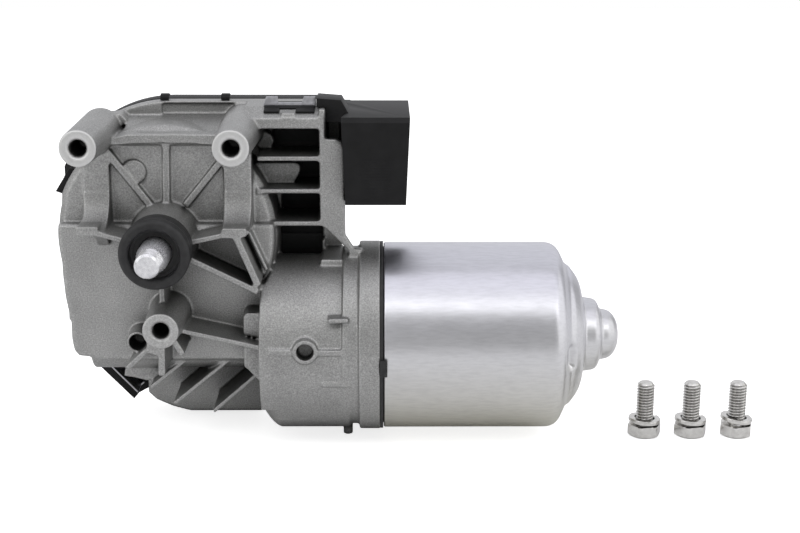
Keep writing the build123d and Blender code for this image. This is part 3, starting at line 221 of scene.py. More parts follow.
# the bowl draws in a little at its left, the flange's corner follows the cover's snap arm,
# the adaptor ends flush with its gasket, and its lower left edge is well rounded
motor_y, motor_z = motor_centre[1:]
flange_y = 49.0
bowl_side_x = -20.0
bowl_draw = 0.065
bowl_low_fade = (-30.0, -5.0)
bowl_high_fade = (14.0, 10.0)
flange_corner_x = -28.0
flange_corner_low_z = 8.0
flange_corner_high_z = 24.0
snap_arm_x = -32.6
snap_arm_z = 19.3
snap_arm_lean = 0.63
adaptor_end = 69.3
gasket_seat_r = 29.6
adaptor_left = 24.0
adaptor_corner_x = 38.0
adaptor_low_z = -54.0
adaptor_middle_z = -38.0
adaptor_r = 29.2
corner_length = 7.0
corner_drop = 6.0
for vertex in casting.data.vertices:
    x, y, z = vertex.co / mm
    if x < bowl_side_x and y < flange_y:
        share = ramp(z, *bowl_low_fade) * ramp(z, *bowl_high_fade)
        vertex.co.x += (bowl_side_x - x) * bowl_draw * share * mm
    elif x < flange_corner_x and flange_corner_low_z < z < flange_corner_high_z:
        vertex.co.x = max(x, snap_arm_x + (z - snap_arm_z) * snap_arm_lean) * mm
    elif x > adaptor_end and hypot(y - motor_y, z - motor_z) > gasket_seat_r:
        vertex.co.x = adaptor_end * mm
    elif adaptor_left < x < adaptor_corner_x and z < adaptor_low_z and y < flange_y:
        reach = hypot(y - motor_y, z - adaptor_middle_z)
        limit = adaptor_r - corner_drop * ramp(x, adaptor_corner_x, adaptor_corner_x - corner_length) ** 2
        if reach > limit:
            vertex.co.y = (motor_y + (y - motor_y) * limit / reach) * mm
            vertex.co.z = (adaptor_middle_z + (z - adaptor_middle_z) * limit / reach) * mm
for face in casting.data.polygons:
    face.use_smooth = True
settle(casting, cast_aluminium, "cast_aluminium", "motor_case", "gear_housing")

# OUTPUT SHAFT
# The wiper arm's shaft is hardened steel, ground bright. Its taper is knurled with fine
# straight grooves to bite into the crank arm, and its end has a fine screw thread.


def skin(name, rings, joined=False):
    """A mesh through rings of points, capped at both ends or with its last ring joined to its first."""
    mesh = bpy.data.meshes.new(name)
    bm = bmesh.new()
    rows = [[bm.verts.new(point) for point in ring] for ring in rings]
    pairs = list(zip(rows, rows[1:] + rows[:1])) if joined else list(zip(rows, rows[1:]))
    count = len(rings[0])
    for near, far in pairs:
        for k in range(count):
            m = (k + 1) % count
            bm.faces.new((near[k], near[m], far[m], far[k]))
    if not joined:
        bm.faces.new(rows[0])
        bm.faces.new(rows[-1])
    bmesh.ops.recalc_face_normals(bm, faces=bm.faces)
    bm.to_mesh(mesh)
    bm.free()
    piece = bpy.data.objects.new(name, mesh)
    bpy.context.scene.collection.objects.link(piece)
    return piece


def rounded_outline(corners, steps=5):
    """An outline through (along, radius, rounding) corners, each rounded by its own amount."""
    points = []
    for number, (along, radius, rounding) in enumerate(corners):
        here = Vector((along, radius))
        if rounding == 0 or number in (0, len(corners) - 1):
            points.append(here)
            continue
        before = Vector(corners[number - 1][:2]) - here
        after = Vector(corners[number + 1][:2]) - here
        reach = min(rounding, before.length * 0.5, after.length * 0.5)
        start = here + before.normalized() * reach
        end = here + after.normalized() * reach
        for step in range(steps + 1):
            t = step / steps
            points.append((1 - t) ** 2 * start + 2 * t * (1 - t) * here + t * t * end)
    return points


def around(axis, centre, along, radius, turn):
    """A point at a turn round an axis that runs along X, Y or Z through a centre, in mm."""
    a, b = radius * cos(turn), radius * sin(turn)
    offsets = {"x": (along, a, b), "y": (a, along, b), "z": (a, b, along)}[axis]
    return Vector([c + o for c, o in zip(centre, offsets)]) * mm


def circles(axis, centre, outline, segments):
    """The rings of a turned piece: each (along, radius) point of its outline, spun round an axis."""
    return [[around(axis, centre, along, radius, 2 * pi * k / segments) for k in range(segments)]
            for along, radius in outline]


def thread_drop(along, turn, pitch, depth):
    """How far a screw thread's surface lies below its crest at a place on the shank."""
    phase = (along / pitch - turn / (2 * pi)) % 1.0
    return depth * min(1.0, abs(phase - 0.5) * 2.3)


# Ground, hardened steel: bright and nearly white in the light, with a faint turned grain,
# and duller from the knurl inwards.
ground_steel, tree, shader = new_material("hardened_steel_ground")
place = add_node(tree, "ShaderNodeTexCoord", {}, {})
haze = add_node(tree, "ShaderNodeTexNoise", {}, {
    "Vector": place.outputs["Object"], "Scale": 1 / (1.2 * mm)})
haze_tone = add_node(tree, "ShaderNodeValToRGB", {
    "stops": [(0.3, "#D9D9DC"), (0.7, "#F2F2F4")]}, {"Fac": haze.outputs["Fac"]})
turning = add_node(tree, "ShaderNodeTexNoise", {}, {
    "Vector": place.outputs["Object"], "Scale": 1 / (0.25 * mm)})
turned_grain = add_node(tree, "ShaderNodeBump", {}, {
    "Height": turning.outputs["Fac"], "Distance": 0.015 * mm})
along_shaft = add_node(tree, "ShaderNodeSeparateXYZ", {}, {"Vector": place.outputs["Object"]})
knurl_finish = add_node(tree, "ShaderNodeMapRange", {}, {
    "Value": along_shaft.outputs["Y"], "From Min": 0.0, "From Max": 0.5 * mm, "To Min": 0.26, "To Max": 0.5})
connect(tree, shader, {"Base Color": haze_tone.outputs["Color"], "Metallic": 1.0,
                       "Roughness": knurl_finish.outputs["Result"],
                       "Normal": turned_grain.outputs["Normal"]})

shaft_axis = (0, 0, 0)
shaft_r = 5.0
thread_end = -7.0
thread_tip_r = 3.1
thread_r = 4.0
thread_pitch = 1.25
thread_depth = 0.34
thread_row = 0.08
thread_rows = 84
tip_cone = 1.1
run_out = 0.8
lead_in_length = 0.9
lead_in_rise = 0.25
taper_start_r = thread_r + 0.05
taper_length = 3.2
taper_rise = 0.7
knurl_end = 7.5
knurl_count = 36
knurl_steps = 8
knurl_depth = 0.62
ring_points = knurl_count * knurl_steps
stations = [thread_end, thread_end + 0.1]
stations += [thread_end + 0.2 + thread_row * k for k in range(thread_rows)]
stations += [0.0, 0.02, 0.35, 0.9, 1.6, 2.4, taper_length, 4, 6, 7.0, knurl_end, 8.2, 13.7]
shaft_rings = []
for along in stations:
    ring = []
    for k in range(ring_points):
        turn = 2 * pi * k / ring_points
        if along < 0.01:
            depth = thread_depth * ramp(along, 0, -run_out)
            end_cone = thread_tip_r + (along - thread_end) * tip_cone
            radius = min(thread_r - thread_drop(along, turn, thread_pitch, depth), end_cone)
        else:
            lead_in = ramp(along, 0, lead_in_length)
            radius = taper_start_r + lead_in_rise * lead_in + taper_rise * ramp(along, 0, taper_length)
            groove = 1 - abs((k % knurl_steps) / knurl_steps - 0.5) * 2
            fade = ramp(along, knurl_end + 0.5, knurl_end + 0.5 - run_out) * lead_in
            radius -= knurl_depth * groove * fade
        ring.append(around("y", shaft_axis, along, min(radius, shaft_r), turn))
    shaft_rings.append(ring)
# the circlip's groove, and the chamfered inner end
groove_r = 4.6
shaft_rings += circles("y", shaft_axis, [
    (13.72, groove_r), (14.9, groove_r), (14.92, shaft_r), (46.2, shaft_r), (47.0, 4.2)], ring_points)
wiper_shaft = skin("wiper_shaft", shaft_rings)
smooth_shading(wiper_shaft, 28)
settle(wiper_shaft, ground_steel, "shaft_steel", "output", "output_shaft")

# BOOT RING
# The ring round the neck is moulded rubber, black and matte, pushed on over the neck's
# spigot. Its inner lip lies in front of the shaft's seal.
moulded_rubber, tree, shader = new_material("moulded_rubber_matte")
place = add_node(tree, "ShaderNodeTexCoord", {}, {})
bloom = add_node(tree, "ShaderNodeTexNoise", {}, {
    "Vector": place.outputs["Object"], "Scale": 1 / (2.5 * mm)})
bloom_tone = add_node(tree, "ShaderNodeValToRGB", {
    "stops": [(0.3, "#1C1C1D"), (0.75, "#2C2C2D")]}, {"Fac": bloom.outputs["Fac"]})
matte = add_node(tree, "ShaderNodeTexNoise", {}, {
    "Vector": place.outputs["Object"], "Scale": 1 / (0.3 * mm)})
matte_skin = add_node(tree, "ShaderNodeBump", {}, {"Height": matte.outputs["Fac"], "Distance": 0.03 * mm})
connect(tree, shader, {"Base Color": bloom_tone.outputs["Color"], "Roughness": 0.55, "IOR": 1.5,
                       "Normal": matte_skin.outputs["Normal"]})

ring_outline = rounded_outline([
    (16.9, 8.4, 0), (16.9, 10.8, 0.4), (11.9, 10.85, 0.25), (11.7, 10.15, 0.2), (10.5, 10.15, 0.2),
    (10.4, 11.1, 0.3), (6.9, 11.12, 0.6), (6.0, 10.1, 0.6), (6.0, 8.4, 0.4), (6.6, 7.85, 0.4),
    (9.2, 7.72, 0), (9.3, 6.95, 0), (9.9, 6.95, 0), (9.95, 8.35, 0), (16.9, 8.35, 0),
])
ring_segments = 128
rubber_ring = skin("rubber_ring", circles("y", shaft_axis, ring_outline, ring_segments), joined=True)
smooth_shading(rubber_ring)
settle(rubber_ring, moulded_rubber, "black_rubber", "motor_case", "boot_ring")

# MOTOR CAN
# The can is steel sheet, deep drawn in one piece and zinc plated, so it is bright and
# slightly bluish, with a soft sheen. Its dome has a pressed dimple on the camera's side.
can_segments = 224
can_mouth = 70.6
can_r = 31.0
dome_start = 127.0
dome_spacing = 0.45
dimple_middle = Vector((131.0, -36.4))
dimple_half_length = 2.4
dimple_r = 2.3
dimple_push = Vector((-0.5, 0.86, 0.0)) * 1.9 * mm


def resampled(outline, start, spacing):
    """The outline with more points from a start onwards, no further apart than the spacing."""
    points = [outline[0]]
    for here, there in zip(outline, outline[1:]):
        gap = hypot(there[0] - here[0], there[1] - here[1])
        parts = ceil(gap / spacing) if here[0] > start else 1
        points += [here + (there - here) * (part / parts) for part in range(1, parts + 1)]
    return points


can_outline = resampled(rounded_outline([
    (can_mouth, can_r - 0.4, 0), (can_mouth + 0.35, can_r, 0.3), (127.6, can_r, 3.4), (130.9, 24.2, 0.9),
    (132.4, 23.3, 1.5), (135.6, 19.2, 3.6), (136.9, 12.6, 0.8), (141.7, 11.9, 1.6),
    (143.0, 8.7, 0.7), (146.6, 8.0, 2.4), (149.0, 4.6, 2.2), (149.3, 0.3, 0),
], steps=8), dome_start, dome_spacing)
can_rings = circles("x", motor_centre, can_outline, can_segments)
for (along, radius), ring in zip(can_outline, can_rings):
    for point in ring:
        aside = Vector((along, point.z / mm)) - dimple_middle
        distance = hypot(aside.x, max(0.0, abs(aside.y) - dimple_half_length))
        if point.y < motor_y * mm and distance < dimple_r:
            point += dimple_push * (1 + cos(pi * distance / dimple_r)) / 2
can_rings += circles("x", motor_centre, [
    (147.6, 0.3), (147.4, 3.5), (140.6, 6.3), (140.4, 10.7), (135.4, 10.8), (129.2, 22.0),
    (123.9, can_r - 1.6), (can_mouth, can_r - 1.6)], can_segments)
drawn_can = skin("drawn_can", can_rings, joined=True)
smooth_shading(drawn_can, 40)

# Zinc-plated steel sheet, bright, with a painted reflection: faintly lavender on top and a little
# yellower low down, with fine streaks along the draw and a few short scratches.
reflection_low_z = -64 * mm
upper_z = -12 * mm
zinc_sheet, tree, shader = new_material("zinc_plated_steel_sheet")
place = add_node(tree, "ShaderNodeTexCoord", {}, {})
spot = add_node(tree, "ShaderNodeSeparateXYZ", {}, {"Vector": place.outputs["Object"]})
# painted reflection: the sheet's colour runs from yellowish low down to lavender on top
level = add_node(tree, "ShaderNodeMapRange", {}, {
    "Value": spot.outputs["Z"], "From Min": reflection_low_z, "From Max": upper_z})
painted_reflection_tone = add_node(tree, "ShaderNodeValToRGB", {
    "stops": [(0.0, "#D5D3C8"), (0.55, "#DFDFE1"), (1.0, "#DEDEE6")]}, {"Fac": level.outputs["Result"]})
stretch = add_node(tree, "ShaderNodeMapping", {}, {
    "Vector": place.outputs["Object"], "Scale": (0.2, 1.0, 1.0)})
streaks = add_node(tree, "ShaderNodeTexNoise", {}, {
    "Vector": stretch.outputs["Vector"], "Scale": 1 / (0.9 * mm), "Detail": 4.0, "Roughness": 0.6})
streak_tone = add_node(tree, "ShaderNodeValToRGB", {
    "stops": [(0.3, "#F0F0F0"), (0.6, "#FFFFFF")]}, {"Fac": streaks.outputs["Fac"]})
streaks_and_reflection = add_node(tree, "ShaderNodeMix", {"data_type": "RGBA", "blend_type": "MULTIPLY"}, {
    0: 0.8, 6: painted_reflection_tone.outputs["Color"], 7: streak_tone.outputs["Color"]})
rubbing = add_node(tree, "ShaderNodeTexNoise", {}, {
    "Vector": place.outputs["Object"], "Scale": 1 / (7 * mm), "Detail": 3.0})
gloss = add_node(tree, "ShaderNodeMapRange", {}, {
    "Value": rubbing.outputs["Fac"], "From Min": 0.3, "From Max": 0.7, "To Min": 0.28, "To Max": 0.34})
scratch_turn = add_node(tree, "ShaderNodeMapping", {}, {
    "Vector": place.outputs["Object"], "Rotation": (0.0, 0.9, 0.3), "Scale": (0.06, 1.0, 1.0)})
scratches = add_node(tree, "ShaderNodeTexNoise", {}, {
    "Vector": scratch_turn.outputs["Vector"], "Scale": 1 / (0.7 * mm), "Detail": 1.0})
scratch_tone = add_node(tree, "ShaderNodeValToRGB", {
    "stops": [(0.72, "#000000"), (0.76, "#FFFFFF")]}, {"Fac": scratches.outputs["Fac"]})
scratched = add_node(tree, "ShaderNodeBump", {"invert": True}, {
    "Height": scratch_tone.outputs["Color"], "Distance": 0.02 * mm, "Strength": 0.5})
rolled = add_node(tree, "ShaderNodeBump", {}, {
    "Height": streaks.outputs["Fac"], "Distance": 0.012 * mm, "Normal": scratched.outputs["Normal"]})
connect(tree, shader, {"Base Color": streaks_and_reflection.outputs[2], "Metallic": 1.0,
                       "Roughness": gloss.outputs["Result"], "Normal": rolled.outputs["Normal"]})
settle(drawn_can, zinc_sheet, "plated_can", "motor_case", "motor_can")

# PLASTIC COVER AND PLUG SOCKET
# The rear cover and the plug socket are injection moulded in black glass-filled nylon. The
# cover clips onto the casting's flange; the socket stands beside the ladder, with fine grip
# ribs on its face.


def softened(piece, radius_mm, steps=2):
    """Round over the sharp edges of a copied CAD piece."""
    bm = bmesh.new()
    bm.from_mesh(piece.data)
    bmesh.ops.dissolve_limit(bm, angle_limit=radians(1.0), verts=bm.verts, edges=bm.edges)
    bm.to_mesh(piece.data)
    bm.free()
    bevel = piece.modifiers.new("edges", "BEVEL")
    bevel.width = radius_mm * mm
    bevel.segments = steps
    bevel.limit_method = "ANGLE"
    bevel.angle_limit = radians(30)
    bevel.use_clamp_overlap = True
    bake_modifiers(piece)
    smooth_shading(piece, 35)
    return piece


def bar(name, left, length, profile):
    """A straight bar along X, from its outline of (y, z) points in mm."""
    return skin(name, [[Vector((x, y, z)) * mm for y, z in profile] for x in (left, left + length)])


def plate(name, front, back, outline):
    """A flat piece that faces the camera, from its outline of (x, z) points in mm."""
    return skin(name, [[Vector((x, y, z)) * mm for x, z in outline] for y in (front, back)])


# Glass-filled nylon: black, with a satin skin and faint flow marks.
moulded_nylon, tree, shader = new_material("glass_filled_nylon_black")
place = add_node(tree, "ShaderNodeTexCoord", {}, {})
flow = add_node(tree, "ShaderNodeTexNoise", {}, {
    "Vector": place.outputs["Object"], "Scale": 1 / (5 * mm)})
flow_tone = add_node(tree, "ShaderNodeValToRGB", {
    "stops": [(0.3, "#101011"), (0.7, "#181819")]}, {"Fac": flow.outputs["Fac"]})
satin = add_node(tree, "ShaderNodeTexNoise", {}, {
    "Vector": place.outputs["Object"], "Scale": 1 / (0.35 * mm)})
satin_skin = add_node(tree, "ShaderNodeBump", {}, {"Height": satin.outputs["Fac"], "Distance": 0.015 * mm})
connect(tree, shader, {"Base Color": flow_tone.outputs["Color"], "Roughness": 0.52, "IOR": 1.46,
                       "Specular IOR Level": 0.3, "Normal": satin_skin.outputs["Normal"]})

moulded_cover = softened(copy_of("rear_cover", "moulded_cover"), 0.5)
snap_arm = softened(plate("cover_snap_arm", 47.2, 51.0, [
    (-33.3, 19.3), (-30.6, 18.7), (-36.0, 10.7), (-38.3, 11.5)]), 0.2)
# a black sheet stands in the deep gap under the ladder and closes it, painted shade that keeps the gap dark
shade_sheet = plate("black_shade_sheet", 51.5, 52.7, [
    (35.8, -11.2), (50.2, -11.2), (50.2, -3.9), (35.8, -3.9)])
for piece in (moulded_cover, snap_arm, shade_sheet):
    settle(piece, moulded_nylon, "black_plastic", "motor_case", "rear_cover")

# the socket's foot is raised and the left edge of its front moved out a little
socket_foot_z = 10.0
socket_foot_rise = 1.5
socket_face_y = 26.0
socket_left_x = 58.4
socket_left_shift = 1.2
socket_top_z = 36.0
moulded_socket = copy_of("connector_housing", "moulded_socket")
for vertex in moulded_socket.data.vertices:
    x, y, z = vertex.co / mm
    if abs(z - socket_foot_z) < 0.1:
        vertex.co.z += socket_foot_rise * mm
    if abs(x - socket_left_x) < 0.1 and y < socket_face_y + 3 and z > socket_top_z:
        vertex.co.x -= socket_left_shift * mm
softened(moulded_socket, 0.5)
settle(moulded_socket, moulded_nylon, "black_plastic", "motor_case", "connector_housing")

# the grip ribs are longest at the middle of their field
rib_count = 12
rib_pitch = 0.95
rib_foot_z = 15.8
rib_left = 63.0
rib_length = 10.4
for number in range(rib_count):
    level = rib_foot_z + rib_pitch * number
    trim = 1.2 * abs(number - rib_count / 2) / rib_count
    grip_rib = bar(f"grip_rib_{number + 1}", rib_left + 3 * trim, rib_length - 5 * trim, [
        (socket_face_y + 0.2, level - 0.3), (socket_face_y - 0.07, level),
        (socket_face_y + 0.2, level + 0.3)])
    settle(grip_rib, moulded_nylon, "black_plastic", "motor_case")

# COVER LATCH AND CLIPS
# The latch at the top is a nylon flap that snaps over the casting's catch, with a plated
# spring-steel bracket whose two ears stand up; two small nylon hooks hold the cover's edge.
# The strip at the lower left corner is plated spring steel, bent over at both ends.
strip_steel, tree, shader = new_material("spring_steel_strip_plated")
place = add_node(tree, "ShaderNodeTexCoord", {}, {})
sheen = add_node(tree, "ShaderNodeTexNoise", {}, {
    "Vector": place.outputs["Object"], "Scale": 1 / (1.5 * mm)})
sheen_tone = add_node(tree, "ShaderNodeValToRGB", {
    "stops": [(0.3, "#B4B4B8"), (0.7, "#CDCDD2")]}, {"Fac": sheen.outputs["Fac"]})
connect(tree, shader, {"Base Color": sheen_tone.outputs["Color"], "Metallic": 1.0, "Roughness": 0.36})

latch_left = 32.0
latch_right = 48.8
latch_y = 40.0
latch_foot_z = 41.15
ear_top_z = 44.3
ear_width = 4.7
ear_taper = 0.9

hook_lefts = (-2.9, 17.1)
hook_width = 2.8
for left in hook_lefts:
    side_hook = softened(bar("side_hook", left, hook_width, [
        (50.8, 41.3), (50.8, 42.4), (51.6, 43.2), (53.2, 43.4), (54.8, 42.9), (54.8, 42.3), (52.4, 42.5),
        (51.8, 41.3)]), 0.15)
    settle(side_hook, moulded_nylon, "black_plastic", "motor_case", "cover_clips")

flap_left = latch_left + 0.3
flap_right = latch_right - 0.3
leg_width = 5.0
# the legs are black nylon; their lower parts down the roof's slope are painted shadow, the shade under the
# flap
leg_profile = [(38.0, 40.45), (38.0, 41.0), (34.9, 40.2), (34.9, 39.65)]
latch_flap = bar("latch_flap", flap_left, flap_right - flap_left, [
    (46.0, 41.3), (latch_y + 1.2, 41.3), (latch_y, latch_foot_z), (37.6, 40.4), (37.4, 40.9),
    (latch_y - 0.5, 41.7), (latch_y + 1.2, 41.8), (46.0, 41.8)])
left_leg = bar("latch_left_leg", flap_left, leg_width, leg_profile)
right_leg = bar("latch_right_leg", flap_right - leg_width - 1.0, leg_width + 1.0, leg_profile)
for piece in (latch_flap, left_leg, right_leg):
    settle(softened(piece, 0.15), moulded_nylon, "black_plastic", "motor_case", "cover_clips")
latch_strip = bar("latch_strip", latch_left, latch_right - latch_left, [
    (latch_y - 0.9, latch_foot_z + 0.1), (latch_y - 0.9, 42.25), (latch_y + 0.1, 42.35),
    (latch_y + 0.1, 41.6)])
ear_outline = [(0, 41.4), (ear_width, 41.4), (ear_width, 42.4), (ear_width - 0.1, ear_top_z),
               (ear_taper, ear_top_z), (0.2, 42.4)]
ears = [plate("latch_ear", latch_y - 1.0, latch_y - 0.1, [(left + x, z) for x, z in ear_outline])
        for left in (latch_left, latch_right - ear_width)]
for piece in [latch_strip] + ears:
    settle(softened(piece, 0.12), strip_steel, "spring_steel", "motor_case", "cover_clips")

# the corner strip's bent front end reaches further forward
strip_front_y = 50.5
strip_reach = 1.6
corner_strip = copy_of("corner_clip", "bent_corner_strip")
for vertex in corner_strip.data.vertices:
    if vertex.co.y < strip_front_y * mm:
        vertex.co.y -= strip_reach * mm
softened(corner_strip, 0.15)
settle(corner_strip, strip_steel, "spring_steel", "motor_case", "corner_clip")

# CAN GASKET
# A thin moulded rubber gasket seals the can to the adaptor, with a tab on its near side.
# It is clamped between the adaptor's flange and the can's rim.
flange_edge_y = 8.6
gasket_shift = 0.75
tab_z = -38.4
tab_half_height = 2.4
tab_rise = 2.2
tab_share = 0.75
rubber_gasket = copy_of("can_gasket", "rubber_gasket")
for vertex in rubber_gasket.data.vertices:
    x, y, z = vertex.co / mm
    if y < flange_edge_y and abs(z - tab_z) < tab_half_height:
        z = tab_z + tab_rise + (z - tab_z) * tab_share
    vertex.co = Vector((x - gasket_shift, y, z)) * mm
softened(rubber_gasket, 0.2)
settle(rubber_gasket, moulded_rubber, "black_rubber", "motor_case", "can_gasket")

# MOUNTING BOLTS AND LOCK WASHERS
# Three M6 hexagon bolts stand on their heads, cold headed with rolled threads and zinc
# plated bright, with painted shade in the thread roots. Each carries a split spring washer
# wound from square wire, which sits askew on the head.
bright_zinc, tree, shader = new_material("bright_zinc_plated_bolt")
place = add_node(tree, "ShaderNodeTexCoord", {}, {})
plating = add_node(tree, "ShaderNodeTexNoise", {}, {
    "Vector": place.outputs["Object"], "Scale": 1 / (1.5 * mm)})
plating_tone = add_node(tree, "ShaderNodeValToRGB", {
    "stops": [(0.3, "#CFCDCA"), (0.7, "#E4E3E0")]}, {"Fac": plating.outputs["Fac"]})
# painted shade: ambient occlusion darkens the thread roots and other tight hollows
thread_shade_ao = add_node(tree, "ShaderNodeAmbientOcclusion", {"samples": 8}, {"Distance": 0.9 * mm})
painted_root_shade = add_node(tree, "ShaderNodeValToRGB", {
    "stops": [(0.35, "#5A5957"), (0.85, "#FFFFFF")]}, {"Fac": thread_shade_ao.outputs["AO"]})
plated = add_node(tree, "ShaderNodeMix", {"data_type": "RGBA", "blend_type": "MULTIPLY"}, {
    0: 1.0, 6: plating_tone.outputs["Color"], 7: painted_root_shade.outputs["Color"]})
connect(tree, shader, {"Base Color": plated.outputs[2], "Metallic": 1.0, "Roughness": 0.2})

floor_z = -69.5
bolt_xs = (158.7, 174.3, 189.8)
bolt_y = 33.5
head_turns = (7, 11, 15)
washer_tilts = (5.0, 5.0, 9.0)
head_height = 4.0
half_flats = 5.0
shank_r = 3.0
shank_end = 18.6
shank_end_r = 2.1
point_length = 0.9
point_slope = 0.9
bolt_thread_pitch = 1.0
bolt_thread_depth = 0.6
bolt_thread_start = head_height + 0.2
bolt_thread_fade = (head_height + 0.6, head_height + 1.4)
bolt_row = 0.1
bolt_rows = round((shank_end - 0.4 - bolt_thread_start) / bolt_row)
bolt_segments = 72
split_turn = radians(30)
slit = radians(7)
washer_steps = 90
washer_rise = 0.55
washer_r = 5.3
washer_bore_r = 3.35
washer_half = 0.7
washer_section = rounded_outline([
    (-washer_half, washer_bore_r, 0.25), (-washer_half, washer_r, 0.35), (washer_half, washer_r, 0.35),
    (washer_half, washer_bore_r, 0.25), (-washer_half, washer_bore_r, 0.25)], 3)[1:]


def hexagon(turn, head_turn):
    """The head's radius at a turn, for a head that is turned by so many degrees."""
    local = (turn + pi / 2 - radians(head_turn) + pi / 6) % (pi / 3) - pi / 6
    return half_flats / cos(local)


for number, (x, head_turn, tilt) in enumerate(zip(bolt_xs, head_turns, washer_tilts), start=1):
    centre = (x, bolt_y, floor_z)
    turns = [2 * pi * k / bolt_segments for k in range(bolt_segments)]
    rings = []
    # the hexagon's corners are cut to a round at both faces
    for height, limit in ((0.0, 4.2), (0.0, 4.75), (0.12, 4.98), (0.25, 5.2), (0.4, 5.45), (0.6, 5.8),
                          (3.7, 5.8), (3.85, 5.5), (head_height, 5.1), (head_height, 3.3)):
        rings.append([around("z", centre, height, min(hexagon(turn, head_turn), limit), turn)
                      for turn in turns])
    for height in [bolt_thread_start + bolt_row * k for k in range(bolt_rows)]:
        depth = bolt_thread_depth * ramp(height, *bolt_thread_fade)
        end_cone = shank_r - max(0.0, height - shank_end + point_length) * point_slope
        radii = [min(shank_r - thread_drop(height, turn, bolt_thread_pitch, depth), end_cone)
                 for turn in turns]
        rings.append([around("z", centre, height, radius, turn) for radius, turn in zip(radii, turns)])
    rings.append([around("z", centre, shank_end, shank_end_r, turn) for turn in turns])
    bolt = skin(f"hexagon_bolt_{number}", rings)
    smooth_shading(bolt, 26)
    settle(bolt, bright_zinc, "plated_bolt", "motor_case", "mounting_bolts")

    washer_rings = []
    tilted = Matrix.Rotation(radians(tilt), 4, "Y")
    washer_level = floor_z + head_height + washer_half + 0.15 + washer_r * sin(radians(tilt))
    for step in range(washer_steps + 1):
        share = step / washer_steps
        turn = split_turn + slit / 2 + share * (2 * pi - slit)
        rise = (share - 0.5) * washer_rise
        washer_rings.append([(Vector((x, bolt_y, washer_level))
                              + tilted @ Vector((r * cos(turn), r * sin(turn), h + rise))) * mm
                             for h, r in washer_section])
    washer = skin(f"split_washer_{number}", washer_rings)
    smooth_shading(washer)
    settle(washer, bright_zinc, "plated_bolt", "motor_case", "lock_washers")

# WORKING PARTS INSIDE THE CASE
# These are seen only when the cover, the can or the case is taken away: gear plastic,
# bronze bushes, copper windings, ferrite magnets and the lacquered board. Their shapes are
# right as the CAD has them, so each only gets its finish, a fine mottle of two near colours.

# each finish: its metallic and roughness values, its two colours, its mottle's size in mm and its nodes
finishes = {
    # acetal gear plastic, milky and slightly waxy
    "acetal_natural_moulded": (0.0, 0.38, "#D8D2BE", "#E6E1D0", 3.0, ["worm_wheel"]),
    # sintered bronze, porous and soaked with oil
    "sintered_bronze_oiled": (1.0, 0.40, "#8F6A3C", "#B98D54", 0.4, [
        "front_bush", "rear_bush", "worm_end_bush", "adaptor_bush", "can_end_bush"]),
    # bearing steel, hardened and ground
    "bearing_steel_ground": (1.0, 0.24, "#C4C4C7", "#E2E2E4", 1.2, [
        "thrust_washer", "thrust_ball", "wheel_hub", "armature_shaft"]),
    # spring wire and strip, oil hardened and dull
    "spring_steel_oil_hardened": (1.0, 0.38, "#6F6F73", "#8B8B90", 1.0, [
        "circlip", "spring_upper", "spring_lower", "magnet_springs"]),
    # enamelled copper wire, glossy and orange brown
    "copper_enamelled": (1.0, 0.28, "#A8552C", "#C9733F", 0.5, ["windings", "commutator_bars"]),
    # electrical steel sheets, stamped and stacked
    "electrical_steel_stacked": (1.0, 0.50, "#5F6062", "#77787A", 0.5, ["armature_core"]),
    # pressed ferrite, charcoal and dry
    "ferrite_pressed": (0.0, 0.70, "#2A2A2C", "#3A3A3D", 0.6, ["field_magnets", "position_magnet"]),
    # pressed carbon with a graphite sheen
    "carbon_graphite_pressed": (0.0, 0.50, "#1C1C1D", "#2C2C2E", 0.4, ["brush_upper", "brush_lower"]),
    # stamped brass
    "brass_stamped": (1.0, 0.30, "#B08F4A", "#CBAA62", 1.5, ["brush_holders", "connector_pins"]),
    # phenolic moulding, brown and hard
    "phenolic_moulded": (0.0, 0.45, "#2B211B", "#3A2D25", 1.0, ["commutator_sleeve", "brush_plate"]),
    # nitrile rubber, moulded flat
    "nitrile_rubber_moulded": (0.0, 0.60, "#191919", "#232323", 1.0, ["cover_gasket", "shaft_seal"]),
    # glass-fibre board under green lacquer
    "glass_fibre_board_lacquered": (0.0, 0.30, "#14502C", "#1C6238", 0.8, ["circuit_board"]),
    # epoxy housings of the relay, the capacitor, the coil and the sensor
    "epoxy_component_housing": (0.0, 0.40, "#1B1B1D", "#29292B", 1.0, ["board_parts", "position_sensor"]),
}
for name, (metallic, roughness, dark, light, mottle_mm, nodes) in finishes.items():
    finish, tree, shader = new_material(name)
    place = add_node(tree, "ShaderNodeTexCoord", {}, {})
    mottle = add_node(tree, "ShaderNodeTexNoise", {}, {
        "Vector": place.outputs["Object"], "Scale": 1 / (mottle_mm * mm), "Detail": 3.0})
    tone = add_node(tree, "ShaderNodeValToRGB", {"stops": [(0.3, dark), (0.7, light)]}, {
        "Fac": mottle.outputs["Fac"]})
    grained = add_node(tree, "ShaderNodeBump", {}, {"Height": mottle.outputs["Fac"], "Distance": 0.01 * mm})
    connect(tree, shader, {"Base Color": tone.outputs["Color"], "Metallic": metallic, "Roughness": roughness,
                           "Normal": grained.outputs["Normal"]})
    for node in nodes:
        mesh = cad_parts[node].data
        mesh.materials.clear()
        mesh.materials.append(finish)

# Each brush spring is a smooth-shaded copy of its CAD mesh, fixed to the motor case in place of its CAD
# node.
for node, joint, far_end in (("spring_upper", "brush_upper_slide", max),
                             ("spring_lower", "brush_lower_slide", min)):
    coil = copy_of(node, node + "_coil")
    smooth_shading(coil, 40)
    settle(coil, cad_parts[node].data.materials[0], "spring_steel", "motor_case", node)
    corners = [vertex.co for vertex in coil.data.vertices]
    anchor = (corners[0].x, motor_y * mm, far_end(corner.z for corner in corners))
    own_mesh(coil)

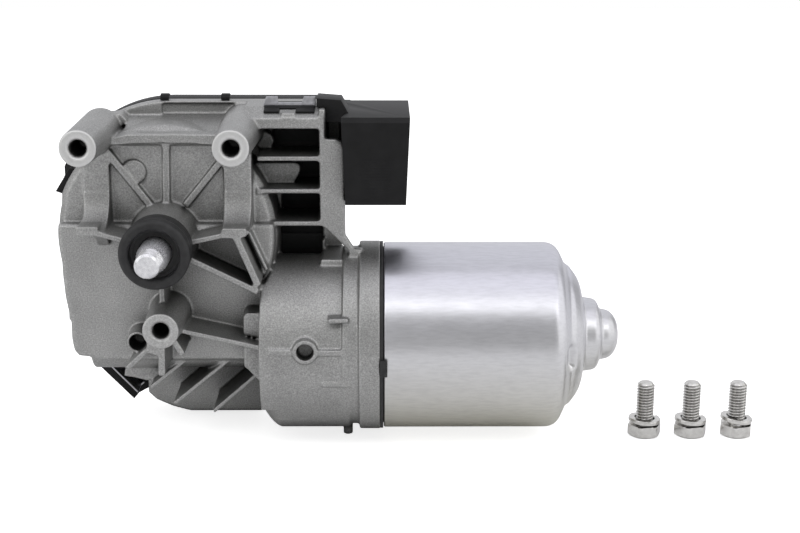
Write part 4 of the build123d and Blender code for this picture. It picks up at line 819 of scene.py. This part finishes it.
# STUDIO
# The motor lies on white paper under a large overhead box, with a long narrow box high in
# front and one at each side. The camera sees the paper lit to white; the metal sees the
# room behind the camera as a dimmer wall, which the can shows as its darker band.
paper_glow = 0.76
paper, tree, shader = new_material("white_paper")
connect(tree, shader, {"Base Color": linear("#F0F0F0"), "Roughness": 0.9})
rays = add_node(tree, "ShaderNodeLightPath", {}, {})
glow = add_node(tree, "ShaderNodeEmission", {}, {"Color": linear("#FFFFFF"), "Strength": paper_glow})
lit = add_node(tree, "ShaderNodeAddShader", {}, {0: shader.outputs["BSDF"], 1: glow.outputs["Emission"]})
seen = add_node(tree, "ShaderNodeMixShader", {}, {
    "Fac": rays.outputs["Is Camera Ray"], 1: shader.outputs["BSDF"], 2: lit.outputs["Shader"]})
connect(tree, tree.nodes["Material Output"], {"Surface": seen.outputs["Shader"]})
paper_size = 3.0
paper_gap = 0.0001
paper_middle = (0.08, 0.2, floor_z * mm - paper_gap)
bpy.ops.mesh.primitive_plane_add(size=paper_size, location=paper_middle)
floor = bpy.context.object
floor.name = "paper_floor"
floor.data.materials.append(paper)

motor_middle = Vector((0.06, 0.03, -0.02))
# each box: its place from the motor's middle, its width and height, its brightness and tint
boxes = {
    "overhead_box": ((0.0, -0.15, 1.0), 1.8, 0.7, 0.66, "#F4F3FB"),
    "back_box": ((0.0, 0.95, 0.72), 2.2, 1.7, 0.40, "#F4F5FC"),
    "front_high_box": ((0.0, -0.62, 0.79), 1.8, 0.30, 1.30, "#FFFFFF"),
    "left_box": ((-0.9, -0.40, 0.42), 0.8, 0.8, 0.95, "#FFFFFF"),
    "right_box": ((0.95, -0.22, 0.34), 1.6, 1.1, 0.62, "#FFFFFF"),
}
for name, (offset, width, height, radiance, tint) in boxes.items():
    lamp = bpy.data.lights.new(name, "AREA")
    lamp.shape = "RECTANGLE"
    lamp.size = width
    lamp.size_y = height
    lamp.energy = radiance * pi * width * height
    lamp.color = linear(tint)[:3]
    holder = bpy.data.objects.new(name, lamp)
    holder.location = motor_middle + Vector(offset)
    holder.rotation_euler = (-Vector(offset)).to_track_quat("-Z", "Y").to_euler()
    bpy.context.scene.collection.objects.link(holder)

room_level = 0.42
world = bpy.data.worlds.new("white_studio")
bpy.context.scene.world = world
world.use_nodes = True
tree = world.node_tree
rays = add_node(tree, "ShaderNodeLightPath", {}, {})
level = add_node(tree, "ShaderNodeMapRange", {}, {
    "Value": rays.outputs["Is Camera Ray"], "To Min": room_level, "To Max": 1.0})
connect(tree, tree.nodes["Background"], {"Color": linear("#FFFFFF"), "Strength": level.outputs["Result"]})

# CAMERA
# It stands about 0.46 m in front of the motor and looks slightly down, as the
# photographer's did. Its place and lens were fitted to the edges in the photograph.
photo_width = 800
photo_focal_pixels = 1434.1
sensor_width_mm = 36.0
look_down = radians(15.05)
look_right = radians(0.684)
roll = radians(0.14)
camera_place = Vector((70.56, -420.3, 111.3)) * mm
camera_data = bpy.data.cameras.new("photo_camera")
camera_data.sensor_width = sensor_width_mm
camera_data.lens = photo_focal_pixels / photo_width * sensor_width_mm
camera = bpy.data.objects.new("photo_camera", camera_data)
bpy.context.scene.collection.objects.link(camera)
forward = Vector((sin(look_right) * cos(look_down), cos(look_right) * cos(look_down), -sin(look_down)))
right = Vector((cos(look_right), -sin(look_right), 0))
up = right.cross(forward)
right, up = right * cos(roll) + up * sin(roll), up * cos(roll) - right * sin(roll)
camera.matrix_world = Matrix.Translation(camera_place) @ Matrix((right, up, -forward)).transposed().to_4x4()
bpy.context.scene.camera = camera
bpy.context.scene.view_settings.view_transform = "Standard"
